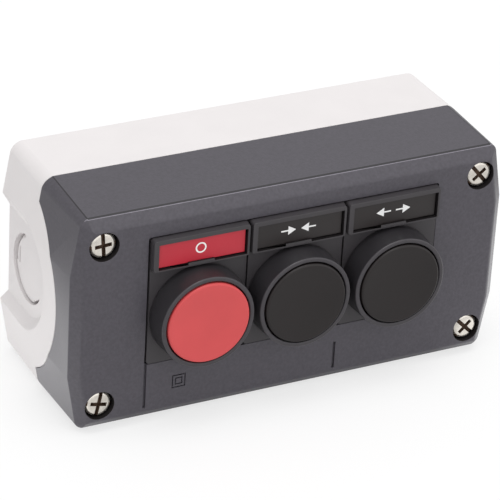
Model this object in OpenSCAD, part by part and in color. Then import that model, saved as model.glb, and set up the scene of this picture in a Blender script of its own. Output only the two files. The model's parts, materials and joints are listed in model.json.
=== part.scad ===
// Surface-mounted control station with three flush pushbuttons, standing on its long side.
// Every piece is drawn lying on its back: x along the length, y up the legends, z away from the wall.
// stand() then turns it upright, so the wall face is the plane y = 0 and the buttons face -Y.

/* [Enclosure] */
// Length of the cover beyond the legend holders, at each end
end_w = 23; // [21:0.5:40]
// Height of the cover above the legend holders
frame_margin = 8.8; // [8:0.1:16]
// Depth of the rear base at its long sides
base_d = 23.5; // [20:0.5:26]
// Thickness of the side walls
wall_t = 3; // [2.5:0.1:3.5]
// Thickness of the floor of the base
floor_t = 2.5; // [2:0.1:3]
// Thickness of the front of the cover
lid_t = 3.5; // [3:0.1:4.5]
// How far each side leans in from the parting line to the front bevel
draft_front = 0.7; // [0.3:0.1:1.2]
// How far each side leans in from the parting line to the wall
draft_back = 0.4; // [0.2:0.1:0.8]
// Width of the front bevel, seen from the front
bevel_w = 4.5; // [3:0.1:5]
// Depth of the front bevel
bevel_d = 3; // [2:0.1:3.2]
// Height of the flat middle of each end
end_flat_h = 32; // [24:1:40]
// How far the corners of each end are set back from that flat
end_set = 3.1; // [1.5:0.1:4.5]
// Corner radius at the wall
corner_back_r = 4; // [3:0.5:6]
// Corner radius at the parting line
corner_mid_r = 4.5; // [4:0.5:7]
// Corner radius at the front bevel
corner_front_r = 3; // [2:0.5:4]

/* [Arched parting line at the ends] */
// Height of the straight rim above and below the arch, which sets the arch's radius
arch_margin = 4; // [3:0.5:6]
// How far the arch rises above the straight parting line
arch_rise = 16.4; // [14:0.2:19]
// Gap between the rims of the base and the cover
seam_gap = 0.15; // [0.1:0.05:0.3]
// Width of the cover gasket
gasket_w = 1.4; // [1:0.1:1.6]
// Depth of the gasket groove in the rim of the base
gasket_groove_d = 1.2; // [0.8:0.1:1.6]

/* [Cable entries] */
// Diameter of the knock-out
knockout_d = 20.7; // [16:0.1:22]
// Distance of the knock-out's rim from the wall and from the flanks of its recess
knockout_margin = 3.7; // [3:0.1:5]
// Depth of the gland recess in each end of the base
gland_recess_d = 2.6; // [1.6:0.1:2.8]
// How far the knock-out is sunk in the floor of the recess
knockout_sink = 0.8; // [0.4:0.1:1]
// Thickness left in the groove round the knock-out
knockout_web = 0.6; // [0.4:0.1:1]

/* [Fixings] */
// Wall fixing holes, distance from the ends
fixing_in_x = 19; // [16:1:22]
// Wall fixing holes, distance from the long sides
fixing_in_y = 7; // [6.5:0.5:9]
// Diameter of the wall fixing holes
fixing_d = 4.3; // [4:0.1:5]
// Cover screws, distance from the ends
screw_in_x = 9.5; // [9:0.1:11]
// Cover screws, distance from the long sides
screw_in_y = 8.8; // [8:0.1:10]
// Diameter of the thread of the cover screws
screw_d = 4; // [3.5:0.1:4.5]
// Diameter of the head of the cover screws
screw_head_d = 7.6; // [7:0.1:8.4]
// How far the screw heads lie under the face of the cover
screw_sink = 1.2; // [0.6:0.1:2]

/* [Buttons] */
// Diameter of the button cap
cap_d = 24.8; // [21:0.1:29]
// Width of the rim round the cap
rim_w = 1.35; // [1.2:0.05:2]
// How much wider the bezel is at its foot than at its rim, on each side
bezel_taper = 0.4; // [0:0.1:0.8]
// Gap between neighbouring bezels
bezel_gap = 1; // [0.6:0.1:6]
// Travel of each button
travel = 4.3; // [3.6:0.1:5]
// Height of the button cap with its skirt
cap_t = 2.8; // [2.4:0.1:3.4]
// How far the button cap stands proud of the rim
cap_proud = 0.5; // [0:0.1:1]
// Depth of the dish in the button cap
cap_dish = 0.7; // [0.3:0.1:0.9]
// Thickness of the bezel's floor over the cover
bezel_floor_t = 1.05; // [0.9:0.05:1.4]
// How far the bezel reaches over the cover outside its barrel
flange_w = 3.5; // [3:0.1:4.5]
// Diameter of the plunger
stem_d = 9; // [8:0.1:10.5]
// Length of the plunger behind the barrel
plunger_tail = 3; // [2.5:0.1:4]
// Gap between neighbouring lock nuts
nut_gap = 4; // [3:0.5:5]
// Thickness of the lock nut
nut_t = 5; // [4:0.1:6]
// Length of the barrel behind the lock nut
barrel_tail = 5.5; // [4.5:0.1:8]

/* [Legends] */
// Distance from the bezel up to the raised frame of the legend holder
frame_gap = 0.5; // [0.3:0.1:2]
// Distance from the bezel down to the lower edge of the legend holder
holder_foot = 0.3; // [0.2:0.1:2]
// Thickness of the holder's plate, which is also the depth of its recess in the cover
holder_t = 1.5; // [1.2:0.1:1.8]
// How far the raised frame stands proud of the cover
frame_proud = 2; // [1.6:0.1:2.6]
// Height of the legend insert
legend_h = 8; // [6.5:0.1:10]
// Thickness of the legend insert
legend_t = 0.9; // [0.6:0.1:1.1]
// Height of the frame's border above and below the insert
border_h = 1.1; // [0.9:0.1:2]
// Width of the frame's border at each end of the insert
border_w = 1.3; // [1:0.1:2]

/* [Contact blocks] */
// Width of the chamber in a contact block
chamber_w = 8; // [7:0.1:9.5]
// Thickness of the sides of a contact block
block_side_t = 2.5; // [2.2:0.1:3.2]
// Depth of the housing of a contact block
block_d = 24; // [22:0.1:28]
// Distance of the contact tips from the middle of the block
tip_y = 9; // [8:0.1:10.5]
// Length of the pocket for each terminal
pocket_l = 6.5; // [6:0.1:7.5]
// Distance the contact tips open, also how far the moving bridge travels
contact_gap = 2.6; // [2.2:0.1:3]

/* [Hidden] */
// Order of the pieces: each station has its own copy of every piece in its name
$fn = 64;

// The three stations, left to right, and which of them opens its contact when it is pressed
STOP = 0;
CLOSE = 1;
OPEN = 2;
station_opens = [true, false, false];

// Clearances
overrun = 1;
slip = 0.1;
running = 0.35;
rest_gap = 0.2;

// Contact blocks
foot_t = 2.5;
foot_lug = 2;
foot_top_z = floor_t + foot_t;
block_top_z = foot_top_z + block_d;
block_roof_t = 2;
block_w = chamber_w + 2 * block_side_t;
bridge_end = 1.5;
bridge_l = 2 * (tip_y + bridge_end);
bridge_w = 4;
bridge_t = 0.8;
chamber_play = 2.5;
chamber_l = bridge_l + 2 * chamber_play;
chamber_top_z = block_top_z - block_roof_t;
pocket_wall = 1.5;
pocket_side = 2;
pocket_w = block_w - 2 * pocket_side;
block_l = chamber_l + 2 * (pocket_wall + pocket_l);
claw_w = 8;
claw_t = 1.8;
claw_hook = 0.8;
claw_hook_t = 1.3;
pusher_play = 0.4;
pusher_w = chamber_w - 2 * pusher_play;
pusher_l = 8;
pusher_proud = 1;
pusher_top_z = block_top_z + travel + pusher_proud;
pusher_bottom_z = foot_top_z + travel + pusher_proud - running;
plunger_end_z = pusher_top_z + rest_gap;
window_play = 0.4;
window_w = bridge_w + 2 * window_play;
tip_d = 3.2;
tip_t = 0.8;
contact_rest = 0.02;
strip_play = 1.5;
strip_w = pocket_w - 2 * strip_play;
strip_t = 1;
strip_in_y = tip_y - tip_d / 2;
terminal_y = (chamber_l / 2 + pocket_wall + block_l / 2) / 2;
terminal_d = 3.4;
terminal_head_d = 5.6;
terminal_head_t = 2;
terminal_tip = 3;
clamp_t = 1;
clamp_play = 0.7;
clamp_l = pocket_l - clamp_play;
bridge_travel = contact_gap - contact_rest;
lost_motion = travel - bridge_travel;
bridge_spring_l = 3.4;

// Button heads, from the cap outwards to the pitch, and from the plunger forwards to the face
bezel_bore_d = cap_d + 2 * running;
rim_d = bezel_bore_d + 2 * rim_w;
bezel_d = rim_d + 2 * bezel_taper;
pitch = bezel_d + bezel_gap;
barrel_d = bezel_d - 2 * flange_w;
nut_af = pitch - nut_gap;
barrel_l = lid_t + nut_t + barrel_tail;
barrel_end_z = plunger_end_z + plunger_tail;
case_d = barrel_end_z + barrel_l;
bezel_floor_z = case_d + bezel_floor_t;
cap_bottom_z = bezel_floor_z + running + travel;
cap_top_z = cap_bottom_z + cap_t;
bezel_top_z = cap_top_z - cap_proud;
cap_disc_t = 1.6;
cap_edge_r = 0.7;
cap_skirt_t = 1.1;
cap_disc_z = cap_top_z - cap_disc_t;
rim_edge_r = 0.6;
barrel_wall = 2.5;
barrel_bore_d = barrel_d - 2 * barrel_wall;
collar_t = 2;
collar_top_z = barrel_end_z + collar_t;
barrel_play = 0.4;
panel_hole_d = barrel_d + barrel_play;
key_w = 3;
key_h = 0.9;
barb_t = 1.2;
barb_h = 1;
head_gasket_t = 0.6;
head_gasket_w = 1.8;
head_gasket_d = panel_hole_d + 2 * key_h + 4 * slip;

// Legend holders
holder_play = 0.4;
holder_w = pitch - holder_play;
frame_h = legend_h + 2 * border_h;
legend_l = holder_w - 2 * border_w;
holder_top = bezel_d / 2 + frame_gap + frame_h;
holder_h = holder_top + bezel_d / 2 + holder_foot;
holder_mid_y = holder_top - holder_h / 2;
frame_mid_y = holder_top - frame_h / 2;
window_lip = 0.5;
window_open = 0.35;
legend_back_t = 1.6;
recess_z = case_d - holder_t;
legend_z = recess_z + legend_back_t;
legend_top_z = legend_z + legend_t;
frame_top_z = case_d + frame_proud;
tab_l = 8;
tab_w = 0.65;
tab_drop = 0.2;
recess_left = 0.5;
recess_above = 0.25;

// Enclosure
case_l = 3 * pitch + 2 * end_w;
case_h = 2 * (holder_top + frame_margin);
half_l = case_l / 2;
half_h = case_h / 2;
flat_half = end_flat_h / 2;
corner_steps = 6;
inner_corner_r = 2;
lid_in_z = case_d - lid_t;
bevel_z = case_d - bevel_d;
arch_r = half_h - arch_margin;
arch_z = base_d + arch_rise - arch_r;
lip_h = 3;
lip_t = 1.3;
lip_end = 19;
lip_l = case_l - 2 * lip_end;
groove_w = 0.8;
groove_d = 0.8;
groove_shift = 0.4;
groove_gap = 5.5;

// Gland recess and knock-out
knockout_z = knockout_margin + knockout_d / 2;
gland_floor_h = knockout_d + 2 * knockout_margin;
gland_floor_l = knockout_z + gland_floor_h / 2;
gland_floor_x = half_l - draft_back - gland_recess_d;
gland_flank_top = 4.6;
gland_flank_bottom = 2.3;
gland_ramp_l = (gland_flank_top + gland_flank_bottom) / 2;
gland_ramp_rise = (gland_flank_top - gland_flank_bottom) / 2;
gland_pad_h = gland_floor_h + 2 * gland_flank_top;
ring_w = 0.5;
pry_w = 0.7;
pry_l = 5;
pry_in = 2.4;

// Wall fixings, cover screws and their posts
fixing_x = case_l - 2 * fixing_in_x;
fixing_y = case_h - 2 * fixing_in_y;
fixing_boss_d = 9;
fixing_boss_h = 2;
screw_x = case_l - 2 * screw_in_x;
screw_y = case_h - 2 * screw_in_y;
post_d = 9.5;
cover_post_d = 12;
screw_head_t = 2.4;
counterbore_play = 1.2;
counterbore_d = screw_head_d + counterbore_play;
head_top_z = case_d - screw_sink;
head_seat_z = head_top_z - screw_head_t;
washer_t = 0.5;
washer_z = head_seat_z - washer_t;
pilot_floor_z = 7;
screw_play = 2;
screw_tip_z = pilot_floor_z + screw_play;
slot_w = 0.9;
slot_depth = 1;
cross_share = 0.56;
head_edge_r = 1.1;

// Heights of the fixed contact strips and of the moving bridges in the two kinds of block
opener_drop = 4;
closer_drop = 9;
opener_strip_z = chamber_top_z - opener_drop;
closer_strip_z = chamber_top_z - closer_drop;
function opens(s) = station_opens[s];
function strip_z(s) = opens(s) ? opener_strip_z : closer_strip_z;
function bridge_z(s) = opens(s)
    ? strip_z(s) - 2 * tip_t - contact_rest - bridge_t
    : strip_z(s) + strip_t + 2 * tip_t + contact_gap;
function window_low_z(s) = opens(s) ? bridge_z(s) - bridge_spring_l - slip : bridge_z(s) - slip;
function window_high_z(s) = opens(s)
    ? bridge_z(s) + bridge_t + lost_motion + slip
    : bridge_z(s) + bridge_t + bridge_spring_l + slip;

// Springs
return_wire_d = 1;
return_play = 1;
return_mean_d = barrel_bore_d - return_wire_d - 2 * return_play;
return_turns = 6;
pusher_wire_d = 0.6;
pusher_mean_d = 3.8;
pusher_turns = 7;
bridge_wire_d = 0.4;
bridge_mean_d = 3.2;
bridge_turns = 3;
coil_rings = 12;
coil_sides = 6;

// Points of one quarter of an outline: the end flat's corner, then the rounded corner up to the top
function quarter(a, b, r) =
    let (
        run = b - flat_half,
        slope = sqrt(run * run + end_set * end_set),
        nx = run / slope,
        ny = end_set / slope,
        cy = b - r,
        cx = a - (r + (cy - flat_half) * ny) / nx,
        start = atan2(ny, nx)
    )
    concat([[a, flat_half]], [
        for (i = [0 : corner_steps])
            let (t = start + (90 - start) * i / corner_steps) [cx + r * cos(t), cy + r * sin(t)]
    ]);

function backwards(list) = [for (i = [len(list) - 1 : -1 : 0]) list[i]];

// Whole outline, anticlockwise: half length a, half height b, corner radius r
function outline(a, b, r) =
    let (q = quarter(a, b, r))
    concat(
        q,
        backwards([for (p = q) [-p[0], p[1]]]),
        [for (p = q) [-p[0], -p[1]]],
        backwards([for (p = q) [p[0], -p[1]]])
    );

function raised(points, z) = [for (p = points) [p[0], p[1], z]];

// A solid skin over rings of points that all have the same count
module skin_rings(rings) {
    n = len(rings[0]);
    last = len(rings) - 1;
    points = [for (ring = rings) for (p = ring) p];
    sides = [
        for (k = [0 : last - 1]) for (i = [0 : n - 1])
            let (j = (i + 1) % n)
            each [
                [k * n + i, (k + 1) * n + i, (k + 1) * n + j],
                [k * n + i, (k + 1) * n + j, k * n + j]
            ]
    ];
    caps = [[for (i = [0 : n - 1]) i], [for (i = [n - 1 : -1 : 0]) last * n + i]];
    polyhedron(points = points, faces = concat(sides, caps), convexity = 4);
}

// A coil spring between two heights, one unbroken tube
module coil(mean_d, wire_d, low, high, turns) {
    rise = high - low - wire_d;
    rings = [
        for (i = [0 : turns * coil_rings])
            let (
                t = 360 * i / coil_rings,
                z = low + wire_d / 2 + rise * i / (turns * coil_rings)
            )
            [
                for (j = [0 : coil_sides - 1])
                    let (a = 360 * j / coil_sides, r = mean_d / 2 + wire_d / 2 * cos(a))
                    [r * cos(t), r * sin(t), z - wire_d / 2 * sin(a)]
            ]
    ];
    skin_rings(rings);
}

// Turns a piece from lying on its back to standing on its long side
module stand() {
    rotate([90, 0, 0]) children();
}

module at_station(s) {
    translate([(s - CLOSE) * pitch, 0, 0]) children();
}

module at_stations() {
    for (s = [STOP : OPEN]) at_station(s) children();
}

// Both ends of a contact block
module at_both_ends() {
    children();
    mirror([0, 1, 0]) children();
}

module at_corners(dx, dy) {
    for (sx = [-1, 1]) for (sy = [-1, 1]) translate([sx * dx / 2, sy * dy / 2, 0]) children();
}

// A block centred in x and y, between two heights
module slab(w, l, low, high) {
    translate([-w / 2, -l / 2, low]) cube([w, l, high - low]);
}

module disc(d, low, high) {
    translate([0, 0, low]) cylinder(d = d, h = high - low);
}

// Outer shape of the closed enclosure
module envelope() {
    front_a = half_l - draft_front;
    front_b = half_h - draft_front;
    skin_rings([
        raised(outline(half_l - draft_back, half_h - draft_back, corner_back_r), 0),
        raised(outline(half_l, half_h, corner_mid_r), base_d),
        raised(outline(front_a, front_b, corner_front_r), bevel_z),
        raised(outline(front_a - bevel_w, front_b - bevel_w, corner_front_r), case_d)
    ]);
}

// Hollow of the enclosure, from the floor of the base to the back of the cover's face
module hollow(inset = 0) {
    back_in = draft_back + wall_t + inset;
    mid_in = wall_t + inset;
    front_in = draft_front + wall_t + inset;
    skin_rings([
        raised(outline(half_l - back_in, half_h - back_in, inner_corner_r), floor_t),
        raised(outline(half_l - mid_in, half_h - mid_in, corner_mid_r - wall_t), base_d),
        raised(outline(half_l - front_in, half_h - front_in, inner_corner_r), lid_in_z)
    ]);
}

// Everything behind the parting surface, kept back from it by a distance
module behind_parting(back = 0) {
    slab(case_l + 2 * overrun, case_h + 2 * overrun, -overrun, base_d - back);
    translate([-half_l - overrun, 0, arch_z]) rotate([0, 90, 0])
        cylinder(r = arch_r - back, h = case_l + 2 * overrun, $fn = 128);
}

// A band that follows the middle of the wall, for the gasket and its groove
module rim_band(w) {
    out = (wall_t - w) / 2;
    inside = out + w;
    difference() {
        linear_extrude(case_d) polygon(outline(half_l - out, half_h - out, corner_mid_r - out));
        translate([0, 0, -overrun]) linear_extrude(case_d + 2 * overrun)
            polygon(outline(half_l - inside, half_h - inside, corner_mid_r - inside));
    }
}

// Gland recess at the right-hand end, with straight flanks and a round front that leans as they do
module gland_recess() {
    low = -gland_floor_h / 2;
    high = gland_floor_h / 2;
    reach = gland_recess_d + overrun;
    out_share = reach / gland_recess_d;
    lean = gland_ramp_rise / gland_recess_d;
    intersection() {
        translate([0, 0, -overrun]) linear_extrude(case_d) polygon([
            [gland_floor_x, low],
            [gland_floor_x + reach, low - gland_flank_bottom * out_share],
            [gland_floor_x + reach, high + gland_flank_top * out_share],
            [gland_floor_x, high]
        ]);
        union() {
            multmatrix([[1, 0, 0, gland_floor_x], [lean, 1, 0, 0], [0, 0, 1, knockout_z]]) rotate([0, 90, 0])
                cylinder(r1 = high, r2 = high + gland_ramp_l * out_share, h = reach);
            translate([gland_floor_x, -case_h / 2, -overrun])
                cube([reach + overrun, case_h, knockout_z + overrun]);
        }
    }
}

// Wall thickness behind the gland recess, inside the base
module gland_pad() {
    high_z = gland_floor_l + gland_ramp_l;
    translate([gland_floor_x - wall_t, -gland_pad_h / 2, floor_t - slip])
        cube([half_l - wall_t - gland_floor_x + wall_t, gland_pad_h, high_z - floor_t]);
}

// Sunk face of the knock-out, the groove round it and the straight slot for prising it out
module knockout_groove() {
    depth = wall_t - knockout_web;
    translate([gland_floor_x - depth, 0, knockout_z]) {
        rotate([0, 90, 0]) difference() {
            cylinder(d = knockout_d, h = depth + overrun);
            translate([0, 0, -overrun])
                cylinder(d = knockout_d - 2 * ring_w, h = depth + overrun - knockout_sink);
        }
        translate([0, -pry_l / 2, -knockout_d / 2 + pry_in]) cube([depth + overrun, pry_l, pry_w]);
    }
}

// Claws that hold the foot of one contact block
module foot_claws() {
    at_both_ends() translate([-claw_w / 2, block_l / 2 + foot_lug + slip, 0]) {
        translate([0, 0, floor_t - slip]) cube([claw_w, claw_t, foot_t + claw_hook_t + 2 * slip]);
        translate([0, -claw_hook, foot_top_z + slip]) cube([claw_w, claw_hook + claw_t, claw_hook_t]);
    }
}

module base_shell() {
    difference() {
        intersection() {
            envelope();
            behind_parting();
        }
        hollow();
        intersection() {
            rim_band(gasket_w + 2 * slip);
            difference() {
                behind_parting(-overrun);
                behind_parting(gasket_groove_d);
            }
        }
    }
}

module base() {
    color("gainsboro") stand() difference() {
        union() {
            base_shell();
            intersection() {
                envelope();
                union() {
                    at_corners(screw_x, screw_y) disc(post_d, floor_t - slip, base_d - rest_gap);
                    for (side = [0, 1]) mirror([side, 0, 0]) gland_pad();
                }
            }
            at_corners(fixing_x, fixing_y) disc(fixing_boss_d, floor_t - slip, floor_t + fixing_boss_h);
            at_stations() foot_claws();
        }
        at_corners(fixing_x, fixing_y) disc(fixing_d, -overrun, case_d);
        at_corners(screw_x, screw_y) disc(screw_d + slip, pilot_floor_z, case_d);
        for (side = [0, 1]) mirror([side, 0, 0]) {
            gland_recess();
            knockout_groove();
        }
    }
}

// Lips of the cover that reach inside the long walls of the base
module cover_lips() {
    back_y = half_h - wall_t - 2 * slip - lip_t;
    at_both_ends() {
        translate([-lip_l / 2, back_y, base_d - lip_h]) cube([lip_l, lip_t, 2 * lip_h]);
        translate([-lip_l / 2, back_y, base_d + seam_gap]) cube([lip_l, lip_t + wall_t / 2, lip_h - seam_gap]);
    }
}

// Recess for the three legend holders, the button holes, their keys and their gasket grooves
module button_cuts() {
    w = 2 * pitch + holder_w + 2 * slip + recess_left;
    h = holder_h + 2 * slip + recess_above;
    translate([-recess_left / 2, holder_mid_y + recess_above / 2, 0]) slab(w, h, recess_z, case_d + overrun);
    at_stations() {
        disc(panel_hole_d, 0, case_d + overrun);
        translate([0, panel_hole_d / 2, 0]) slab(key_w + 2 * slip, 2 * (key_h + slip), 0, case_d + overrun);
        difference() {
            disc(head_gasket_d + 2 * head_gasket_w + 2 * slip, recess_z - head_gasket_t, case_d);
            disc(head_gasket_d - 2 * slip, 0, case_d + overrun);
        }
    }
}

// Thin dividing grooves that run down to the bevel, the right one from below the recess
module cover_grooves() {
    low_y = -half_h + draft_front + bevel_w;
    high_y = holder_top - holder_h;
    for (line = [[-1.5 * pitch, high_y], [pitch / 2 - groove_shift, high_y - groove_gap]])
        translate([line[0] - groove_w / 2, low_y, case_d - groove_d])
            cube([groove_w, line[1] - low_y, overrun]);
}

module cover() {
    color("dimgray") stand() difference() {
        union() {
            difference() {
                envelope();
                hollow();
            }
            intersection() {
                envelope();
                at_corners(screw_x, screw_y) disc(cover_post_d, base_d + seam_gap, case_d);
            }
            cover_lips();
        }
        difference() {
            behind_parting(-seam_gap);
            hollow(2 * slip);
        }
        button_cuts();
        cover_grooves();
        at_corners(screw_x, screw_y) {
            disc(counterbore_d, washer_z, case_d + overrun);
            disc(screw_d + 4 * slip, 0, case_d);
        }
    }
}

module cover_gasket() {
    color("darkslategray") stand() intersection() {
        rim_band(gasket_w);
        difference() {
            behind_parting(-seam_gap);
            behind_parting(gasket_groove_d);
        }
    }
}

// Screw head with rounded edge, full-width slot and shorter cross arms
module screw_head(d, t, turn) {
    difference() {
        rotate_extrude() polygon(concat(
            [[0, 0], [d / 2, 0]],
            [for (a = [0 : 30 : 90]) [d / 2 - head_edge_r * (1 - cos(a)), t - head_edge_r * (1 - sin(a))]],
            [[0, t]]
        ));
        rotate([0, 0, turn]) {
            slab(slot_w, d + overrun, t - slot_depth, t + overrun);
            slab(d * cross_share, slot_w, t - slot_depth, t + overrun);
        }
    }
}

module cover_screws() {
    turns = [[-12, 4], [45, 40]];
    color("silver") stand()
        for (i = [0, 1]) for (j = [0, 1])
            translate([(i - 1 / 2) * screw_x, (j - 1 / 2) * screw_y, 0]) {
                translate([0, 0, head_seat_z]) screw_head(screw_head_d, screw_head_t, turns[i][j]);
                disc(screw_d, screw_tip_z, head_seat_z + slip);
            }
}

module screw_washers() {
    color("black") stand() at_corners(screw_x, screw_y) difference() {
        disc(screw_head_d, washer_z, head_seat_z);
        disc(screw_d + slip, 0, case_d);
    }
}

// Button head: bezel, barrel with its guide collar, and the key that stops it turning
module bezel(s) {
    color("black") stand() at_station(s) {
        rotate_extrude() polygon([
            [stem_d / 2 + slip, barrel_end_z],
            [barrel_d / 2, barrel_end_z],
            [barrel_d / 2, case_d],
            [bezel_d / 2, case_d],
            [bezel_d / 2, case_d + rim_edge_r],
            [rim_d / 2, bezel_top_z - rim_edge_r],
            [rim_d / 2 - rim_edge_r, bezel_top_z],
            [bezel_bore_d / 2, bezel_top_z],
            [bezel_bore_d / 2, bezel_floor_z],
            [barrel_bore_d / 2, bezel_floor_z],
            [barrel_bore_d / 2, collar_top_z],
            [stem_d / 2 + slip, collar_top_z]
        ]);
        translate([-key_w / 2, barrel_d / 2 - slip, lid_in_z])
            cube([key_w, key_h + slip, recess_z - lid_in_z]);
    }
}

// Button cap: a dished disc with a rounded edge and a skirt that clips over the plunger
module cap(s, tint) {
    dish_r = (cap_d / 2 - cap_edge_r) * (cap_d / 2 - cap_edge_r) / (2 * cap_dish);
    rim = cap_d / 2 - cap_edge_r;
    color(tint) stand() at_station(s) difference() {
        rotate_extrude() polygon(concat(
            [[0, cap_disc_z], [cap_d / 2 - cap_skirt_t, cap_disc_z], [cap_d / 2 - cap_skirt_t, cap_bottom_z],
             [cap_d / 2, cap_bottom_z]],
            [for (a = [0 : 30 : 90]) [rim + cap_edge_r * cos(a), cap_top_z - cap_edge_r * (1 - sin(a))]],
            [for (k = [3 : -1 : 0]) let (x = rim * k / 4)
                [x, cap_top_z - cap_dish + dish_r - sqrt(dish_r * dish_r - x * x)]]
        ));
    }
}

// Plunger: the plate under the cap, the stem through the collar and the barbs that keep it in
module plunger(s) {
    plate_r = cap_d / 2 - cap_skirt_t - slip;
    barb_top_z = barrel_end_z - slip;
    color("darkslategray") stand() at_station(s) rotate_extrude() polygon([
        [0, plunger_end_z],
        [stem_d / 2 - barb_h / 2, plunger_end_z],
        [stem_d / 2, barb_top_z - barb_t - slip],
        [stem_d / 2 + barb_h, barb_top_z - barb_t / 2],
        [stem_d / 2 + barb_h, barb_top_z],
        [stem_d / 2, barb_top_z],
        [stem_d / 2, cap_bottom_z],
        [plate_r, cap_bottom_z],
        [plate_r, cap_disc_z],
        [0, cap_disc_z]
    ]);
}

module return_spring(s) {
    color("lightsteelblue") stand() at_station(s)
        coil(return_mean_d, return_wire_d, collar_top_z + slip, cap_bottom_z - slip, return_turns);
}

module head_gasket(s) {
    color("black") stand() at_station(s) difference() {
        disc(head_gasket_d + 2 * head_gasket_w, recess_z - head_gasket_t, recess_z);
        disc(head_gasket_d, 0, case_d);
    }
}

module lock_nut(s) {
    color("dimgray") stand() at_station(s) difference() {
        rotate([0, 0, 90]) translate([0, 0, lid_in_z - nut_t])
            cylinder(d = nut_af / cos(30), h = nut_t, $fn = 6);
        disc(barrel_d + slip, 0, case_d);
    }
}

// Plate in the cover's recess with a raised frame, whose lips and tab hold the legend
module legend_holder(s) {
    window_l = legend_l - window_lip + window_open;
    window_h = legend_h - window_lip + window_open;
    aside = (window_lip + window_open) / 2;
    color("black") stand() at_station(s) difference() {
        union() {
            translate([0, holder_mid_y, 0]) slab(holder_w, holder_h, recess_z, case_d);
            translate([0, frame_mid_y, 0]) slab(holder_w, frame_h, recess_z, frame_top_z);
        }
        disc(panel_hole_d, 0, case_d + overrun);
        translate([0, frame_mid_y, 0]) {
            slab(legend_l + 2 * slip, legend_h + 2 * slip, legend_z, legend_top_z);
            difference() {
                translate([aside, -aside, 0]) slab(window_l, window_h, legend_z, frame_top_z + overrun);
                translate([0, -legend_h / 2 - window_open, 0])
                    slab(tab_l, 2 * tab_w, legend_top_z, frame_top_z - tab_drop);
            }
        }
    }
}

module legend(s, tint) {
    color(tint) stand() at_station(s) translate([0, frame_mid_y, 0])
        slab(legend_l, legend_h, legend_z, legend_top_z);
}

// Housing of a contact block: a chamber for the moving parts and an open pocket at each terminal
module block_housing(s, tint) {
    low = strip_z(s);
    color(tint) stand() at_station(s) difference() {
        slab(block_w, block_l, foot_top_z, block_top_z);
        slab(chamber_w, chamber_l, foot_top_z - overrun, chamber_top_z);
        slab(pusher_w + 2 * running, pusher_l + 2 * running, 0, case_d);
        at_both_ends() {
            translate([-pocket_w / 2, chamber_l / 2 + pocket_wall, low])
                cube([pocket_w, block_l / 2, case_d]);
            translate([-strip_w / 2 - slip, 0, low]) cube([strip_w + 2 * slip, block_l / 2, strip_t + slip]);
            translate([0, terminal_y, low - terminal_tip - slip])
                cylinder(d = terminal_d + 4 * slip, h = case_d);
        }
    }
}

// Foot of a contact block: closes the chamber, locates the spring and carries the lugs
module block_foot(s) {
    color("gray") stand() at_station(s) {
        slab(block_w, block_l + 2 * foot_lug, floor_t, foot_top_z);
        slab(chamber_w - 2 * slip, chamber_l - 2 * slip, foot_top_z - slip, foot_top_z + pusher_proud / 2);
    }
}

// Pusher of a contact block, with the window that carries the bridge and a well for its spring
module pusher(s) {
    well_top_z = window_low_z(s) - bridge_t;
    color("whitesmoke") stand() at_station(s) difference() {
        slab(pusher_w, pusher_l, pusher_bottom_z, pusher_top_z);
        slab(window_w, pusher_l + overrun, window_low_z(s), window_high_z(s));
        disc(pusher_mean_d + pusher_wire_d + 4 * slip, 0, well_top_z);
    }
}

module pusher_spring(s) {
    well_top_z = window_low_z(s) - bridge_t;
    color("lightsteelblue") stand() at_station(s)
        coil(pusher_mean_d, pusher_wire_d, foot_top_z + pusher_proud / 2 + slip, well_top_z - slip, pusher_turns);
}

// Moving bridge with a contact tip at each end, on the side that meets the fixed tips
module bridge(s) {
    low = bridge_z(s);
    color("goldenrod") stand() at_station(s) {
        slab(bridge_w, bridge_l, low, low + bridge_t);
        at_both_ends() translate([0, tip_y, opens(s) ? low + bridge_t - slip : low - tip_t])
            cylinder(d = tip_d, h = tip_t + slip);
    }
}

module bridge_spring(s) {
    low = opens(s) ? window_low_z(s) : bridge_z(s) + bridge_t;
    high = opens(s) ? bridge_z(s) : window_high_z(s);
    color("lightsteelblue") stand() at_station(s)
        coil(bridge_mean_d, bridge_wire_d, low + slip / 2, high - slip / 2, bridge_turns);
}

// The two fixed contacts of a block: strip, contact tip and terminal hole
module terminals(s) {
    low = strip_z(s);
    color("goldenrod") stand() at_station(s) at_both_ends() difference() {
        union() {
            translate([-strip_w / 2, strip_in_y, low])
                cube([strip_w, block_l / 2 - strip_in_y - slip, strip_t]);
            translate([0, tip_y, opens(s) ? low - tip_t : low + strip_t - slip])
                cylinder(d = tip_d, h = tip_t + slip);
        }
        translate([0, terminal_y, 0]) cylinder(d = terminal_d + slip, h = case_d);
    }
}

module clamp_plates(s) {
    low = strip_z(s) + strip_t;
    color("silver") stand() at_station(s) at_both_ends() translate([0, terminal_y, 0]) difference() {
        slab(strip_w, clamp_l, low, low + clamp_t);
        disc(terminal_d + slip, 0, case_d);
    }
}

module terminal_screws(s) {
    seat = strip_z(s) + strip_t + clamp_t;
    color("silver") stand() at_station(s) at_both_ends() translate([0, terminal_y, 0]) {
        translate([0, 0, seat]) screw_head(terminal_head_d, terminal_head_t, 0);
        disc(terminal_d, strip_z(s) - terminal_tip, seat + slip);
    }
}

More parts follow.
